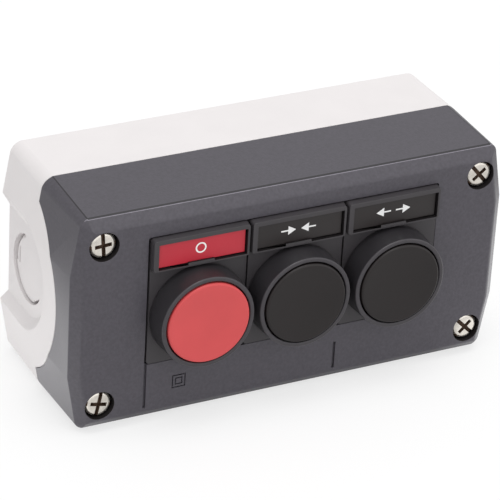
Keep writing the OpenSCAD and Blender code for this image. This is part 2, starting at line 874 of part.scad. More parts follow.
base();
cover();
cover_gasket();
cover_screws();
screw_washers();
bezel(STOP);  // bezel_stop
bezel(CLOSE);  // bezel_close
bezel(OPEN);  // bezel_open
cap(STOP, "indianred");  // cap_stop
cap(CLOSE, "black");  // cap_close
cap(OPEN, "black");  // cap_open
plunger(STOP);  // plunger_stop
plunger(CLOSE);  // plunger_close
plunger(OPEN);  // plunger_open
return_spring(STOP);  // return_spring_stop
return_spring(CLOSE);  // return_spring_close
return_spring(OPEN);  // return_spring_open
head_gasket(STOP);  // head_gasket_stop
head_gasket(CLOSE);  // head_gasket_close
head_gasket(OPEN);  // head_gasket_open
lock_nut(STOP);  // lock_nut_stop
lock_nut(CLOSE);  // lock_nut_close
lock_nut(OPEN);  // lock_nut_open
legend_holder(STOP);  // legend_holder_stop
legend_holder(CLOSE);  // legend_holder_close
legend_holder(OPEN);  // legend_holder_open
legend(STOP, "firebrick");  // legend_stop
legend(CLOSE, "black");  // legend_close
legend(OPEN, "black");  // legend_open
block_housing(STOP, "firebrick");  // block_housing_stop
block_housing(CLOSE, "seagreen");  // block_housing_close
block_housing(OPEN, "seagreen");  // block_housing_open
block_foot(STOP);  // block_foot_stop
block_foot(CLOSE);  // block_foot_close
block_foot(OPEN);  // block_foot_open
pusher(STOP);  // pusher_stop
pusher(CLOSE);  // pusher_close
pusher(OPEN);  // pusher_open
pusher_spring(STOP);  // pusher_spring_stop
pusher_spring(CLOSE);  // pusher_spring_close
pusher_spring(OPEN);  // pusher_spring_open
bridge(STOP);  // bridge_stop
bridge(CLOSE);  // bridge_close
bridge(OPEN);  // bridge_open
bridge_spring(STOP);  // bridge_spring_stop
bridge_spring(CLOSE);  // bridge_spring_close
bridge_spring(OPEN);  // bridge_spring_open
terminals(STOP);  // terminals_stop
terminals(CLOSE);  // terminals_close
terminals(OPEN);  // terminals_open
clamp_plates(STOP);  // clamp_plates_stop
clamp_plates(CLOSE);  // clamp_plates_close
clamp_plates(OPEN);  // clamp_plates_open
terminal_screws(STOP);  // terminal_screws_stop
terminal_screws(CLOSE);  // terminal_screws_close
terminal_screws(OPEN);  // terminal_screws_open
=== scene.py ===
"""Looks of a surface-mounted control station with three flush pushbuttons.

Every piece is modelled lying on its back, as at a bench: x along the station, y up the legends and z away
from the wall, in millimetres. Bench.stand() then turns it upright into the frame of the CAD model.
"""

import json
import logging
import math
from dataclasses import dataclass, field
from enum import Enum
from typing import Callable, Iterable, Sequence

import bpy
from mathutils import Matrix, Vector


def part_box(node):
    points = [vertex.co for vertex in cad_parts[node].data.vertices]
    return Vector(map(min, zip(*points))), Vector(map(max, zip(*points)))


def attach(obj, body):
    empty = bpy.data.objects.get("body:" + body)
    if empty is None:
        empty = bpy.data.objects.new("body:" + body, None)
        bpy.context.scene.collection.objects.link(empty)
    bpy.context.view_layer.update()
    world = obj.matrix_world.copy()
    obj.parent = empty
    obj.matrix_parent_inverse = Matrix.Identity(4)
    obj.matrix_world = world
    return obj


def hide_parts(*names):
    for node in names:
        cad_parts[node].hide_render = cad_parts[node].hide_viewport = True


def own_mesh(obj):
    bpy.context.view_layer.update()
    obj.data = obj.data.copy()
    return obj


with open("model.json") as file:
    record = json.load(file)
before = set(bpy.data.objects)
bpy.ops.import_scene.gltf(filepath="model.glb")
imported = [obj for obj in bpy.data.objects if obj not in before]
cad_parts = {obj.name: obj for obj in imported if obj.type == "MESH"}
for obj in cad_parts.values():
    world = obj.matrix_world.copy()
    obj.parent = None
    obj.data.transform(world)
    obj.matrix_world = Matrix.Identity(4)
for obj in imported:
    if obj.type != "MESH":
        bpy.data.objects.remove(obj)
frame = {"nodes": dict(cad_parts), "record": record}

LOG = logging.getLogger("station")
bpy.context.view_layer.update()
MM = 0.001
# Points closer than this many metres become one, while a piece is made and after it is trimmed
MERGE = 1e-7
TRIM_MERGE = 1e-6
# Least share of a direction that counts as along an axis, and as away from the wall
ALIGNED = 0.99
UPRIGHT = 0.9
Point = Sequence[float]
Obj = bpy.types.Object
Pair = tuple[float, float]
Triple = tuple[float, float, float]
Test = Callable[[Vector, Vector], bool]
# Noise detail of mottle and grain, and the two ends of the mottle on the noise
BROAD_DETAIL = 3.0
FINE_DETAIL = 2.0
TONE_STOPS = (0.3, 0.7)
# Sides of a spring's wire, and steps of one of its turns
WIRE_SIDES = 10
TURN_STEPS = 28


# Finishes


class Graph:
    """The node tree of a material or of the world, with short ways to add and link its nodes."""

    def __init__(self, tree: bpy.types.NodeTree) -> None:
        """Takes the tree to work on."""
        self.nodes = tree.nodes
        self.links = tree.links

    @staticmethod
    def fill(node: bpy.types.Node, values: dict) -> None:
        """Sets inputs of a node, each by its name or its number."""
        for entry, value in values.items():
            node.inputs[entry].default_value = value

    def add(self, kind: str, values: dict | None = None, operation: str = "") -> bpy.types.Node:
        """Adds a shader node.

        Args:
            kind: Its kind, without the ShaderNode in front.
            values: Values of some of its inputs, by name or number.
            operation: What it works out, where it has a choice.

        Returns:
            The new node.
        """
        made = self.nodes.new(f"ShaderNode{kind}")
        if operation:
            made.operation = operation
        self.fill(made, values or {})
        return made

    def link(self, *rows: tuple) -> None:
        """Links nodes, each row with the source, its output, the target and its input."""
        for source, output, target, entry in rows:
            self.links.new(source.outputs[output], target.inputs[entry])


@dataclass(frozen=True)
class Finish:
    """How one moulded, turned or printed surface looks."""

    name: str
    colour: tuple[int, int, int]
    roughness: float = 0.42
    metallic: float = 0.0
    mottle: float = 0.06
    mottle_size: float = 9.0
    grain_size: float = 0.35
    grain_height: float = 0.012
    swing: float = 0.05
    specular: float = 0.5

    @staticmethod
    def linear(channel: float) -> float:
        """Turns one sRGB channel of 0 to 255 into linear light."""
        share = channel / 255
        return share / 12.92 if share <= 0.04045 else ((share + 0.055) / 1.055) ** 2.4

    def tint(self, gain: float) -> tuple[float, float, float, float]:
        """Linear colour of the finish, made lighter or darker by a gain."""
        return (*[min(1.0, self.linear(c) * gain) for c in self.colour], 1.0)

    def material(self) -> bpy.types.Material:
        """Builds the procedural material, once for each finish.

        Returns:
            A node material with mottled colour, uneven gloss and a fine moulded or machined grain.
        """
        title = f"{self.name}_finish"
        known = bpy.data.materials.get(title)
        if known:
            return known
        made = bpy.data.materials.new(title)
        made.use_nodes = True
        graph = Graph(made.node_tree)
        shader = next(n for n in graph.nodes if n.type == "BSDF_PRINCIPLED")
        graph.fill(shader, {"Metallic": self.metallic, "Specular IOR Level": self.specular})
        place = graph.add("TexCoord")
        broad = self.noise(graph, place, self.mottle_size, BROAD_DETAIL)
        fine = self.noise(graph, place, self.grain_size, FINE_DETAIL)
        tone = graph.add("ValToRGB")
        for stop, position, gain in zip(tone.color_ramp.elements, TONE_STOPS, (-self.mottle, self.mottle)):
            stop.position = position
            stop.color = self.tint(1 + gain)
        low, high = self.roughness - self.swing, self.roughness + self.swing
        gloss = graph.add("MapRange", {"To Min": low, "To Max": high})
        bump = graph.add("Bump", {"Strength": 1.0, "Distance": self.grain_height * MM})
        graph.link(
            (broad, "Fac", tone, "Fac"), (tone, "Color", shader, "Base Color"),
            (broad, "Fac", gloss, "Value"), (gloss, "Result", shader, "Roughness"),
            (fine, "Fac", bump, "Height"), (bump, "Normal", shader, "Normal"),
        )
        return made

    @staticmethod
    def noise(graph: Graph, place: bpy.types.Node, size: float, detail: float) -> bpy.types.Node:
        """Adds a noise texture on Object coordinates.

        Args:
            graph: The tree it is added to.
            place: The node that gives the coordinates.
            size: Width of a feature of the noise, in millimetres.
            detail: How many finer layers the noise has.

        Returns:
            The noise node.
        """
        made = graph.add("TexNoise", {"Scale": 1 / (size * MM), "Detail": detail})
        graph.link((place, "Object", made, "Vector"))
        return made


class Slot(Enum):
    """The finishes of the station, by the name of their material slot."""

    base_grey = Finish("base_grey", (221, 217, 217), 0.5, mottle=0.012, grain_size=0.5)
    cover_grey = Finish("cover_grey", (72, 69, 76), mottle=0.13, mottle_size=0.9, grain_size=0.5,
                        grain_height=0.03)
    bezel_black = Finish("bezel_black", (42, 40, 43), 0.4, grain_height=0.008)
    holder_black = Finish("holder_black", (58, 55, 58), mottle=0.05, grain_height=0.01)
    cap_red = Finish("cap_red", (199, 68, 70), mottle=0.03, grain_height=0.008)
    cap_black = Finish("cap_black", (29, 24, 24), mottle=0.05, grain_height=0.008, specular=0.4)
    legend_red = Finish("legend_red", (185, 38, 54), 0.4, mottle=0.03, grain_height=0.005)
    legend_black = Finish("legend_black", (39, 34, 34), 0.4, mottle=0.05, grain_height=0.005)
    plunger_grey = Finish("plunger_grey", (90, 90, 94), 0.45)
    nut_grey = Finish("nut_grey", (105, 105, 108), 0.45)
    foot_grey = Finish("foot_grey", (120, 120, 122), 0.5)
    pusher_white = Finish("pusher_white", (226, 224, 218), 0.4, mottle=0.02)
    block_red = Finish("block_red", (168, 40, 40), 0.45)
    block_green = Finish("block_green", (48, 120, 78), 0.45)
    seal_rubber = Finish("seal_rubber", (30, 30, 31), 0.75, grain_size=0.2, grain_height=0.02)
    screw_steel = Finish("screw_steel", (240, 234, 225), 0.3, 0.9, 0.1, 1.6, 0.25, 0.012, 0.08)
    spring_steel = Finish("spring_steel", (176, 178, 182), 0.3, 1.0, 0.05, 2.0, 0.25, 0.004, 0.06)
    contact_brass = Finish("contact_brass", (196, 158, 88), 0.32, 1.0, 0.06, 2.0, 0.25, 0.004, 0.06)


# Painted highlight for the rounded top edge of the cover.
PAINTED_EDGE_HIGHLIGHT = Finish("painted_edge_highlight", (124, 120, 129), 0.36, mottle=0.13, mottle_size=0.9)
# Painted shade for the line behind the top edge and for the upper corners of the cover.
PAINTED_EDGE_SHADE = Finish("painted_edge_shade", (38, 36, 40), 0.5)
# Painted sheen on the bezel rims, lighter than the bezel.
PAINTED_RIM_SHEEN = Finish("painted_rim_sheen", (58, 55, 59), 0.36, mottle=0.08, mottle_size=1.5, grain_height=0.01)
# Painted shade for the counterbores and the gaps round the legends.
SHADE_BLACK = Finish("shade_black", (31, 28, 29), 0.6, specular=0.2)
PRINT_WHITE = Finish("print_white", (236, 234, 232), 0.5, mottle=0.01, grain_height=0.004)
# Painted shade in the screw slots.
PAINTED_SLOT_SHADE = Finish("painted_slot_shade", (84, 66, 54), 0.7, 0.0, 0.2, 1.5, grain_height=0.01, specular=0.2)


# Bench work


class Bench:
    """Bench tools: each works on one mesh object with Blender's own operators."""

    @staticmethod
    def start() -> None:
        """Goes to object mode with nothing selected."""
        if bpy.context.mode != "OBJECT":
            bpy.ops.object.mode_set(mode="OBJECT")
        bpy.ops.object.select_all(action="DESELECT")

    @staticmethod
    def only(*objs: Obj) -> None:
        """Selects these objects alone, the first one active, in object mode.

        Args:
            objs: The objects.
        """
        Bench.start()
        for obj in objs:
            obj.select_set(True)
        bpy.context.view_layer.objects.active = objs[0]

    @staticmethod
    def placed(name: str) -> Obj:
        """Names the newest object and moves its place, turn and scale into its mesh.

        Args:
            name: The name it gets.

        Returns:
            The object.
        """
        obj = bpy.context.object
        obj.name = name
        bpy.ops.object.transform_apply(location=True, rotation=True, scale=True)
        return obj

    @staticmethod
    def block(name: str, low: Point, high: Point) -> Obj:
        """Adds a block.

        Args:
            name: Its name.
            low: Its lowest corner, in millimetres.
            high: Its highest corner, in millimetres.

        Returns:
            The new object.
        """
        Bench.start()
        bpy.ops.mesh.primitive_cube_add(size=1, location=[(a + b) / 2 * MM for a, b in zip(low, high)])
        bpy.context.object.scale = [(b - a) * MM for a, b in zip(low, high)]
        return Bench.placed(name)

    @staticmethod
    def disc(name: str, width: float, low: float, high: float, at: Point = (0, 0), sides: int = 64) -> Obj:
        """Adds an upright cylinder.

        Args:
            name: Its name.
            width: Its diameter.
            low: Height of its lower end.
            high: Height of its upper end.
            at: Its place in x and y.
            sides: Number of its sides.

        Returns:
            The new object.
        """
        Bench.start()
        bpy.ops.mesh.primitive_cylinder_add(
            vertices=sides, radius=width / 2 * MM, depth=(high - low) * MM,
            location=(at[0] * MM, at[1] * MM, (low + high) / 2 * MM),
        )
        return Bench.placed(name)

    @staticmethod
    def rod(name: str, radius: float, low_x: float, high_x: float, z: float, spread: float = 0.0,
            sides: int = 96) -> Obj:
        """Adds a rod that lies along the length of the station.

        Args:
            name: Its name.
            radius: Its radius at the low end.
            low_x: Where it begins.
            high_x: Where it ends.
            z: Height of its middle.
            spread: How much greater its radius is at the far end.
            sides: Number of its sides.

        Returns:
            The new object.
        """
        Bench.start()
        bpy.ops.mesh.primitive_cone_add(
            vertices=sides, radius1=radius * MM, radius2=(radius + spread) * MM, depth=(high_x - low_x) * MM,
            rotation=(0, math.pi / 2, 0), location=((low_x + high_x) / 2 * MM, 0, z * MM),
        )
        return Bench.placed(name)

    @staticmethod
    def turned(name: str, profile: Sequence[Point], steps: int = 128) -> Obj:
        """Turns a profile of (radius, height) points about the z axis, as on a lathe.

        Args:
            name: Its name.
            profile: Points in millimetres. A closed profile repeats its first point at the end.
            steps: Number of sides of the turned shape.

        Returns:
            The closed, turned object.
        """
        Bench.start()
        first = profile[0]
        bpy.ops.mesh.primitive_plane_add(size=MM, location=(first[0] * MM, 0, first[1] * MM))
        obj = Bench.placed(name)
        bpy.ops.object.mode_set(mode="EDIT")
        bpy.ops.mesh.select_all(action="SELECT")
        bpy.ops.mesh.merge(type="CENTER")
        for a, b in zip(profile, profile[1:]):
            bpy.ops.mesh.extrude_region_move(
                TRANSFORM_OT_translate={"value": ((b[0] - a[0]) * MM, 0, (b[1] - a[1]) * MM)}
            )
        bpy.ops.mesh.select_all(action="SELECT")
        bpy.ops.mesh.remove_doubles(threshold=MERGE)
        bpy.ops.mesh.spin(steps=steps, angle=2 * math.pi, center=(0, 0, 0), axis=(0, 0, 1))
        bpy.ops.mesh.select_all(action="SELECT")
        bpy.ops.mesh.remove_doubles(threshold=MERGE)
        bpy.ops.mesh.normals_make_consistent(inside=False)
        bpy.ops.object.mode_set(mode="OBJECT")
        return obj

    @staticmethod
    def coil(name: str, mean_d: float, wire_d: float, low: float, high: float, turns: int) -> Obj:
        """Winds a spring about the z axis with the Screw modifier.

        Args:
            name: Its name.
            mean_d: Diameter of the coil at the middle of the wire.
            wire_d: Diameter of the wire.
            low: Height of its lower end.
            high: Height of its upper end.
            turns: Number of turns.

        Returns:
            The new object, with closed ends.
        """
        Bench.start()
        bpy.ops.mesh.primitive_circle_add(
            vertices=WIRE_SIDES, radius=wire_d / 2 * MM, fill_type="NOTHING", rotation=(math.pi / 2, 0, 0),
            location=(mean_d / 2 * MM, 0, (low + wire_d / 2) * MM),
        )
        obj = Bench.placed(name)
        wind = obj.modifiers.new("wind", "SCREW")
        wind.axis = "Z"
        wind.angle = 2 * math.pi * turns
        wind.screw_offset = (high - low - wire_d) * MM
        wind.iterations = 1
        wind.steps = wind.render_steps = TURN_STEPS * turns
        wind.use_merge_vertices = False
        bpy.ops.object.modifier_apply(modifier=wind.name)
        bpy.ops.object.mode_set(mode="EDIT")
        bpy.ops.mesh.select_all(action="DESELECT")
        bpy.ops.mesh.select_non_manifold()
        bpy.ops.mesh.edge_face_add()
        bpy.ops.mesh.select_all(action="SELECT")
        bpy.ops.mesh.normals_make_consistent(inside=False)
        bpy.ops.object.mode_set(mode="OBJECT")
        return obj

    @staticmethod
    def trim(obj: Obj, planes: Iterable[tuple[Point, Point]]) -> Obj:
        """Cuts away what lies beyond each plane and closes the cut.

        Args:
            obj: A closed solid.
            planes: Pairs of a point in millimetres and an outward normal.

        Returns:
            The same object.
        """
        Bench.only(obj)
        bpy.ops.object.mode_set(mode="EDIT")
        for point, normal in planes:
            bpy.ops.mesh.select_all(action="SELECT")
            bpy.ops.mesh.bisect(
                plane_co=[c * MM for c in point], plane_no=normal, use_fill=True, clear_outer=True,
                threshold=MERGE,
            )
        bpy.ops.mesh.select_all(action="SELECT")
        bpy.ops.mesh.remove_doubles(threshold=TRIM_MERGE)
        bpy.ops.object.mode_set(mode="OBJECT")
        return obj

    @staticmethod
    def pull(obj: Obj, way: Point) -> None:
        """Lengthens a solid by pulling out the faces that look the given way.

        Args:
            obj: A closed solid.
            way: How far the faces go, in millimetres.
        """
        line = Vector(way)
        for item in (*obj.data.vertices, *obj.data.edges, *obj.data.polygons):
            item.select = False
        for face in obj.data.polygons:
            face.select = face.normal.dot(line) > ALIGNED * line.length
        Bench.only(obj)
        bpy.context.tool_settings.mesh_select_mode = (False, False, True)
        bpy.ops.object.mode_set(mode="EDIT")
        bpy.ops.mesh.extrude_region_move(TRANSFORM_OT_translate={"value": line * MM})
        bpy.context.tool_settings.mesh_select_mode = (True, False, False)
        bpy.ops.object.mode_set(mode="OBJECT")

    @staticmethod
    def combine(obj: Obj, others: Sequence[Obj], operation: str) -> Obj:
        """Joins, cuts or meets an object with others, which are used up.

        Args:
            obj: The object that is changed.
            others: Solids to work with, one after the other.
            operation: UNION, DIFFERENCE or INTERSECT.

        Returns:
            The same object.
        """
        for other in others:
            Bench.only(obj)
            step = obj.modifiers.new("step", "BOOLEAN")
            step.operation = operation
            step.solver = "MANIFOLD"
            step.object = other
            bpy.ops.object.modifier_apply(modifier=step.name)
            bpy.data.objects.remove(other, do_unlink=True)
        return obj

    @staticmethod
    def cut(obj: Obj, *others: Obj) -> Obj:
        """Takes other solids out of an object."""
        return Bench.combine(obj, others, "DIFFERENCE")

    @staticmethod
    def add(obj: Obj, *others: Obj) -> Obj:
        """Fuses other solids to an object."""
        return Bench.combine(obj, others, "UNION")

    @staticmethod
    def meet(obj: Obj, *others: Obj) -> Obj:
        """Keeps what an object shares with each other solid."""
        return Bench.combine(obj, others, "INTERSECT")

    @staticmethod
    def gather(*objs: Obj) -> Obj:
        """Makes one object of several that don't touch.

        Args:
            objs: The objects, of which the first one stays.

        Returns:
            The joined object.
        """
        Bench.only(*objs)
        if len(objs) > 1:
            bpy.ops.object.join()
        return bpy.context.object

    @staticmethod
    def copy(obj: Obj, name: str, matrix: Matrix) -> Obj:
        """Copies an object with a mesh of its own.

        Args:
            obj: The object to copy.
            name: Name of the copy.
            matrix: Place of the copy, in metres.

        Returns:
            The copy.
        """
        twin = obj.copy()
        twin.data = obj.data.copy()
        twin.name = name
        bpy.context.scene.collection.objects.link(twin)
        twin.data.transform(matrix)
        if matrix.determinant() < 0:
            twin.data.flip_normals()
        return twin

    @staticmethod
    def shift(obj: Obj, x: float, y: float = 0.0) -> None:
        """Moves an object's mesh, in millimetres."""
        obj.data.transform(Matrix.Translation((x * MM, y * MM, 0)))

    @staticmethod
    def at_corners(obj: Obj, width: float, height: float) -> Obj:
        """Puts one copy of an object at each corner of a rectangle.

        Args:
            obj: The object, which is used up.
            width: Width of the rectangle in millimetres.
            height: Height of the rectangle in millimetres.

        Returns:
            The four copies as one object.
        """
        made = [
            Bench.copy(obj, obj.name, Matrix.Translation((sx * width / 2 * MM, sy * height / 2 * MM, 0)))
            for sx in (-1, 1) for sy in (-1, 1)
        ]
        bpy.data.objects.remove(obj, do_unlink=True)
        return Bench.gather(*made)

    @staticmethod
    def both_ends(obj: Obj, axis: Point = (1, 0, 0)) -> Obj:
        """Adds the mirror image of an object at the other end."""
        twin = Bench.copy(obj, obj.name, Matrix.Scale(-1, 4, Vector(axis)))
        return Bench.gather(obj, twin)

    @staticmethod
    def round_edges(obj: Obj, width: float, segments: int = 3, angle: float = 25.0,
                    clamp: bool = False) -> Obj:
        """Rounds every edge that is sharper than an angle.

        Args:
            obj: The object to work on.
            width: Width of the rounding in millimetres.
            segments: Number of steps of the rounding.
            angle: Least angle between two faces, in degrees.
            clamp: Whether the rounding stops where two of them would meet.

        Returns:
            The same object.
        """
        Bench.only(obj)
        bevel = obj.modifiers.new("edges", "BEVEL")
        bevel.width = width * MM
        bevel.segments = segments
        bevel.limit_method = "ANGLE"
        bevel.angle_limit = math.radians(angle)
        bevel.use_clamp_overlap = clamp
        bpy.ops.object.modifier_apply(modifier=bevel.name)
        return obj

    @staticmethod
    def round_chosen(obj: Obj, width: float, segments: int, test: Test) -> Obj:
        """Rounds some edges.

        Args:
            obj: The object to work on.
            width: Width of the rounding in millimetres.
            segments: Number of steps of the rounding.
            test: Picks an edge by its middle, in millimetres, and its direction.

        Returns:
            The same object.
        """
        Bench.only(obj)
        mesh = obj.data
        for item in (*mesh.vertices, *mesh.polygons):
            item.select = False
        for edge in mesh.edges:
            a, b = (mesh.vertices[i].co for i in edge.vertices)
            edge.select = bool((b - a).length > MERGE and test((a + b) / 2 / MM, (b - a).normalized()))
        bpy.context.tool_settings.mesh_select_mode = (False, True, False)
        bpy.ops.object.mode_set(mode="EDIT")
        bpy.ops.mesh.bevel(offset=width * MM, segments=segments, affect="EDGES", clamp_overlap=False)
        bpy.context.tool_settings.mesh_select_mode = (True, False, False)
        bpy.ops.object.mode_set(mode="OBJECT")
        return obj

    @staticmethod
    def is_upright(middle: Vector, way: Vector) -> bool:
        """Whether an edge runs away from the wall."""
        return abs(way.z) > UPRIGHT

    @staticmethod
    def paint(obj: Obj, finish: Finish, test: Test) -> None:
        """Dresses some faces in another finish.

        Args:
            obj: The object, whose first slot is kept for its own finish.
            finish: The other finish.
            test: Picks a face by its middle, in millimetres, and its normal.
        """
        if not obj.data.materials:
            obj.data.materials.append(finish.material())
        obj.data.materials.append(finish.material())
        for face in obj.data.polygons:
            if test(face.center / MM, face.normal):
                face.material_index = len(obj.data.materials) - 1

    @staticmethod
    def stand(obj: Obj) -> None:
        """Turns a finished object from lying on its back to standing on its long side.

        Args:
            obj: The object.
        """
        Bench.only(obj)
        obj.rotation_euler = (math.pi / 2, 0, 0)
        bpy.ops.object.transform_apply(location=True, rotation=True, scale=True)

    @staticmethod
    def deliver(obj: Obj, slot: Slot, body: str, *nodes: str, angle: float = 30.0,
                weighted: bool = True) -> None:
        """Stands a piece up, shades and dresses it, and ties it to the frame.

        Args:
            obj: The finished piece, lying on its back.
            slot: Its finish.
            body: The CAD body that it rides on.
            nodes: The CAD nodes that it stands for.
            angle: Edges sharper than this many degrees stay crisp.
            weighted: Whether large flat faces set the shading of the edges round them.
        """
        Bench.stand(obj)
        bpy.ops.object.shade_smooth_by_angle(angle=math.radians(angle))
        if weighted:
            normals = obj.modifiers.new("normals", "WEIGHTED_NORMAL")
            normals.keep_sharp = True
            bpy.ops.object.modifier_apply(modifier=normals.name)
        if not obj.data.materials:
            obj.data.materials.append(slot.value.material())
        else:
            obj.data.materials[0] = slot.value.material()
        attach(obj, body)
        if nodes:
            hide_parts(*nodes)
        LOG.info("%s: %d faces, rides on %s", obj.name, len(obj.data.polygons), body)


# Sizes that several pieces share, in millimetres. CLEAR is past the front of them all, cutters go on by OVER,
# and NEAR is the play in a test of where a face or an edge is.

PITCH = 30.0
CASE_D = 51.5
HOLE_D = 22.4
PLATE_W = 29.6
PLATE_TOP = 25.2
PLATE_LOW = -14.8
SCREW_SPREAD = (117.0, 50.4)
TRAVEL = 4.3
CLEAR = 60.0
OVER = 1.0
NEAR = 0.01


# The station


class Station(Enum):
    """The three stations, left to right, with their place along the row."""

    stop = -1
    close = 0
    open = 1

    @property
    def x(self) -> float:
        """Distance from the middle of the row, in millimetres."""
        return self.value * PITCH


@dataclass
class Enclosure:
    """The two-part plastic box: grey rear base and dark cover, parted along an arched line at each end."""

    half_l: float = 68.0
    half_h: float = 34.0
    base_d: float = 23.5
    bevel_w: float = 4.5
    bevel_d: float = 3.0
    draft_front: float = 0.7
    draft_back: float = 0.4
    flat_half: float = 16.0
    end_set: float = 3.1
    corner_radii: tuple[float, ...] = (4.0, 4.5, 3.0, 2.6)
    base_turns: tuple[float, ...] = (80, 68, 56, 44, 32, 20)
    cover_turns: tuple[float, ...] = (62, 50, 38, 26, 16)
    inside_turns: tuple[float, ...] = (56, 32)
    wall: float = 3.0
    floor: float = 2.5
    lid: float = 3.5
    skirt: float = 8.0
    arch_r: float = 30.0
    arch_z: float = 9.9
    seam: float = 0.15
    gasket_w: float = 1.4
    gasket_d: float = 1.2
    gasket_play: float = 0.2
    counterbore_d: float = 8.8
    counterbore_z: float = 47.4
    post_d: float = 9.5
    post_gap: float = 0.2
    pilot_d: float = 4.1
    pilot_z: float = 7.0
    cover_post_d: float = 12.0
    screw_hole_d: float = 4.4
    fixing_spread: Pair = (98.0, 54.0)
    fixing_d: float = 4.3
    fixing_reach: float = 20.0
    boss_d: float = 9.0
    boss_z: float = 4.5
    claw_half: float = 4.0
    claw_y: float = 23.1
    claw_t: float = 1.8
    claw_top: float = 6.5
    hook_y: Pair = (-0.8, 1.0)
    hook_z: Pair = (5.1, 6.4)
    plate_t: float = 1.5
    recess_left: float = 0.5
    recess_above: float = 0.25
    recess_corner: float = 0.7
    play: float = 0.1
    groove_w: float = 0.8
    groove_d: float = 0.8
    groove_in: float = 3.0
    groove_out: float = 0.2
    groove_gap: float = 5.5
    groove_shift: float = 0.4
    mark_at: Pair = (-34.5, -22.25)
    mark_halves: Pair = (2.1, 1.15)
    mark_line: float = 0.36
    mark_d: float = 0.5
    keyway_half: float = 1.6
    keyway_y: Pair = (8.0, 12.2)
    seat_d: Pair = (28.2, 24.3)
    seat_sink: float = 0.6
    lip_half: float = 49.0
    lip_y: Triple = (29.5, 30.8, 32.3)
    lip_reach: float = 3.0
    floor_x: float = 65.0
    gland_half: float = 14.05
    flanks: Pair = (4.6, 2.3)
    pad_half: float = 18.6
    pad_over: float = 3.5
    knockout_d: float = 20.7
    knockout_z: float = 14.05
    knockout_sink: float = 0.8
    # Cuts round the knock-out: how much smaller than it, width, floor and top from its face, (y, z) window
    knockout_cuts: tuple[tuple, ...] = (
        (0.0, 0.5, -1.6, 0.1, (-20, 0), (20, 40)),
        (0.01, 1.4, -0.9, 0.2, (-1.8, 0), (20, 10.6)),
        (0.01, 1.1, -1.3, 0.3, (-20, 17.4), (-6, 20.8)),
    )
    # Its slot: floor and top from its face, (y, z) corners
    knockout_slot: tuple[float, float, Point, Point] = (-0.9, 0.4, (-1.8, 6.15), (3.4, 6.85))
    front_round: float = 0.8
    ridge_round: float = 0.5
    side_round: float = 0.2
    base_round: float = 0.3
    detail_round: float = 0.12
    crease: float = 22.0
    # Upward share of the normal where the top edge's painted highlight starts, its painted shade starts, and
    # plain colour comes back
    edge_lift: Triple = (0.6, 0.86, 0.995)
    # The same for the painted shade at the upper corners: least upward share, then least and greatest
    # sideways share
    corner_lift: Triple = (0.89, 0.05, 0.45)
    edge_reach: Pair = (1.4, 0.7)

    @property
    def levels(self) -> list[Triple]:
        """Height, inset and corner radius of the outline, from the wall to the front.

        Returns:
            A row each for the wall, the parting line, the bevel and the front.
        """
        heights = (0.0, self.base_d, CASE_D - self.bevel_d, CASE_D)
        insets = (self.draft_back, 0.0, self.draft_front, self.draft_front + self.bevel_w)
        return list(zip(heights, insets, self.corner_radii))

    def sides(self, turns: Sequence[float]) -> list[tuple[float, float, list[float]]]:
        """Every side of the outline, with the turned sides that round its corners.

        Args:
            turns: Directions of the sides at a corner, in degrees from the length of the box.

        Returns:
            For each side its outward direction and its distance from the middle at each level.
        """
        run = self.half_h - self.flat_half
        slope = math.hypot(run, self.end_set)
        fx, fy = run / slope, self.end_set / slope
        lean = fx * self.half_l + fy * self.flat_half
        first = [
            (0.0, 1.0, [self.half_h - inset for _, inset, _ in self.levels]),
            (1.0, 0.0, [self.half_l - inset for _, inset, _ in self.levels]),
            (fx, fy, [lean - inset * fx for _, inset, _ in self.levels]),
        ]
        for turn in turns:
            nx, ny = math.cos(math.radians(turn)), math.sin(math.radians(turn))
            reach = []
            for _, inset, radius in self.levels:
                cy = self.half_h - inset - radius
                cx = (lean - inset * fx - radius - fy * cy) / fx
                reach.append(nx * cx + ny * cy + radius)
            first.append((nx, ny, reach))
        return [
            (nx * sx, ny * sy, reach)
            for nx, ny, reach in first
            for sx in ((-1, 1) if nx else (1,)) for sy in ((-1, 1) if ny else (1,))
        ]

    def body(self, name: str, inset: float, low: float, high: float, bevelled: bool = False,
             turns: Sequence[float] = inside_turns) -> Obj:
        """The outline as a solid between two heights, with its leaning sides and its front bevel.

        Args:
            name: Its name.
            inset: How far each side stands in from the outside of the box.
            low: Lowest height.
            high: Greatest height.
            bevelled: Whether it has the bevel round its front.
            turns: Directions of the sides that round each corner.

        Returns:
            The new solid.
        """
        x, y = self.half_l + OVER, self.half_h + OVER
        obj = Bench.block(name, (-x, -y, low), (x, y, high))
        heights = [height for height, _, _ in self.levels]
        planes = []
        for nx, ny, reach in self.sides(turns):
            for step in range(3 if bevelled else 2):
                lean = (reach[step] - reach[step + 1]) / (heights[step + 1] - heights[step])
                edge = reach[step] - inset
                planes.append(((nx * edge, ny * edge, heights[step]), (nx, ny, lean)))
        return Bench.trim(obj, planes)

    def behind(self, name: str, back: float) -> Obj:
        """Everything behind the parting line, kept back from it by a distance in millimetres.

        Args:
            name: Name of the object.
            back: The distance.

        Returns:
            The solid, which reaches past the case on all other sides.
        """
        x, y = self.half_l + 2 * OVER, self.half_h + 2 * OVER
        obj = Bench.block(name, (-x, -y, -2 * OVER), (x, y, self.base_d - back))
        end = x - OVER / 3
        return Bench.add(obj, Bench.rod("arch", self.arch_r - back, -end, end, self.arch_z, sides=144))

    def band(self, name: str, width: float) -> Obj:
        """A band that follows the middle of the wall from the floor to the front.

        Args:
            name: Name of the object.
            width: Width of the band, in millimetres.

        Returns:
            The band.
        """
        out = (self.wall - width) / 2
        obj = self.body(name, out, OVER, CASE_D - OVER)
        return Bench.cut(obj, self.body("band_inside", out + width, 0.0, CASE_D))

    def at_screws(self, width: float, low: float, high: float) -> Obj:
        """Four upright cylinders at the cover screws."""
        return Bench.at_corners(Bench.disc("screws", width, low, high), *SCREW_SPREAD)

    def at_fixings(self, width: float, low: float, high: float) -> Obj:
        """Four upright cylinders at the wall fixings."""
        return Bench.at_corners(Bench.disc("fixings", width, low, high), *self.fixing_spread)

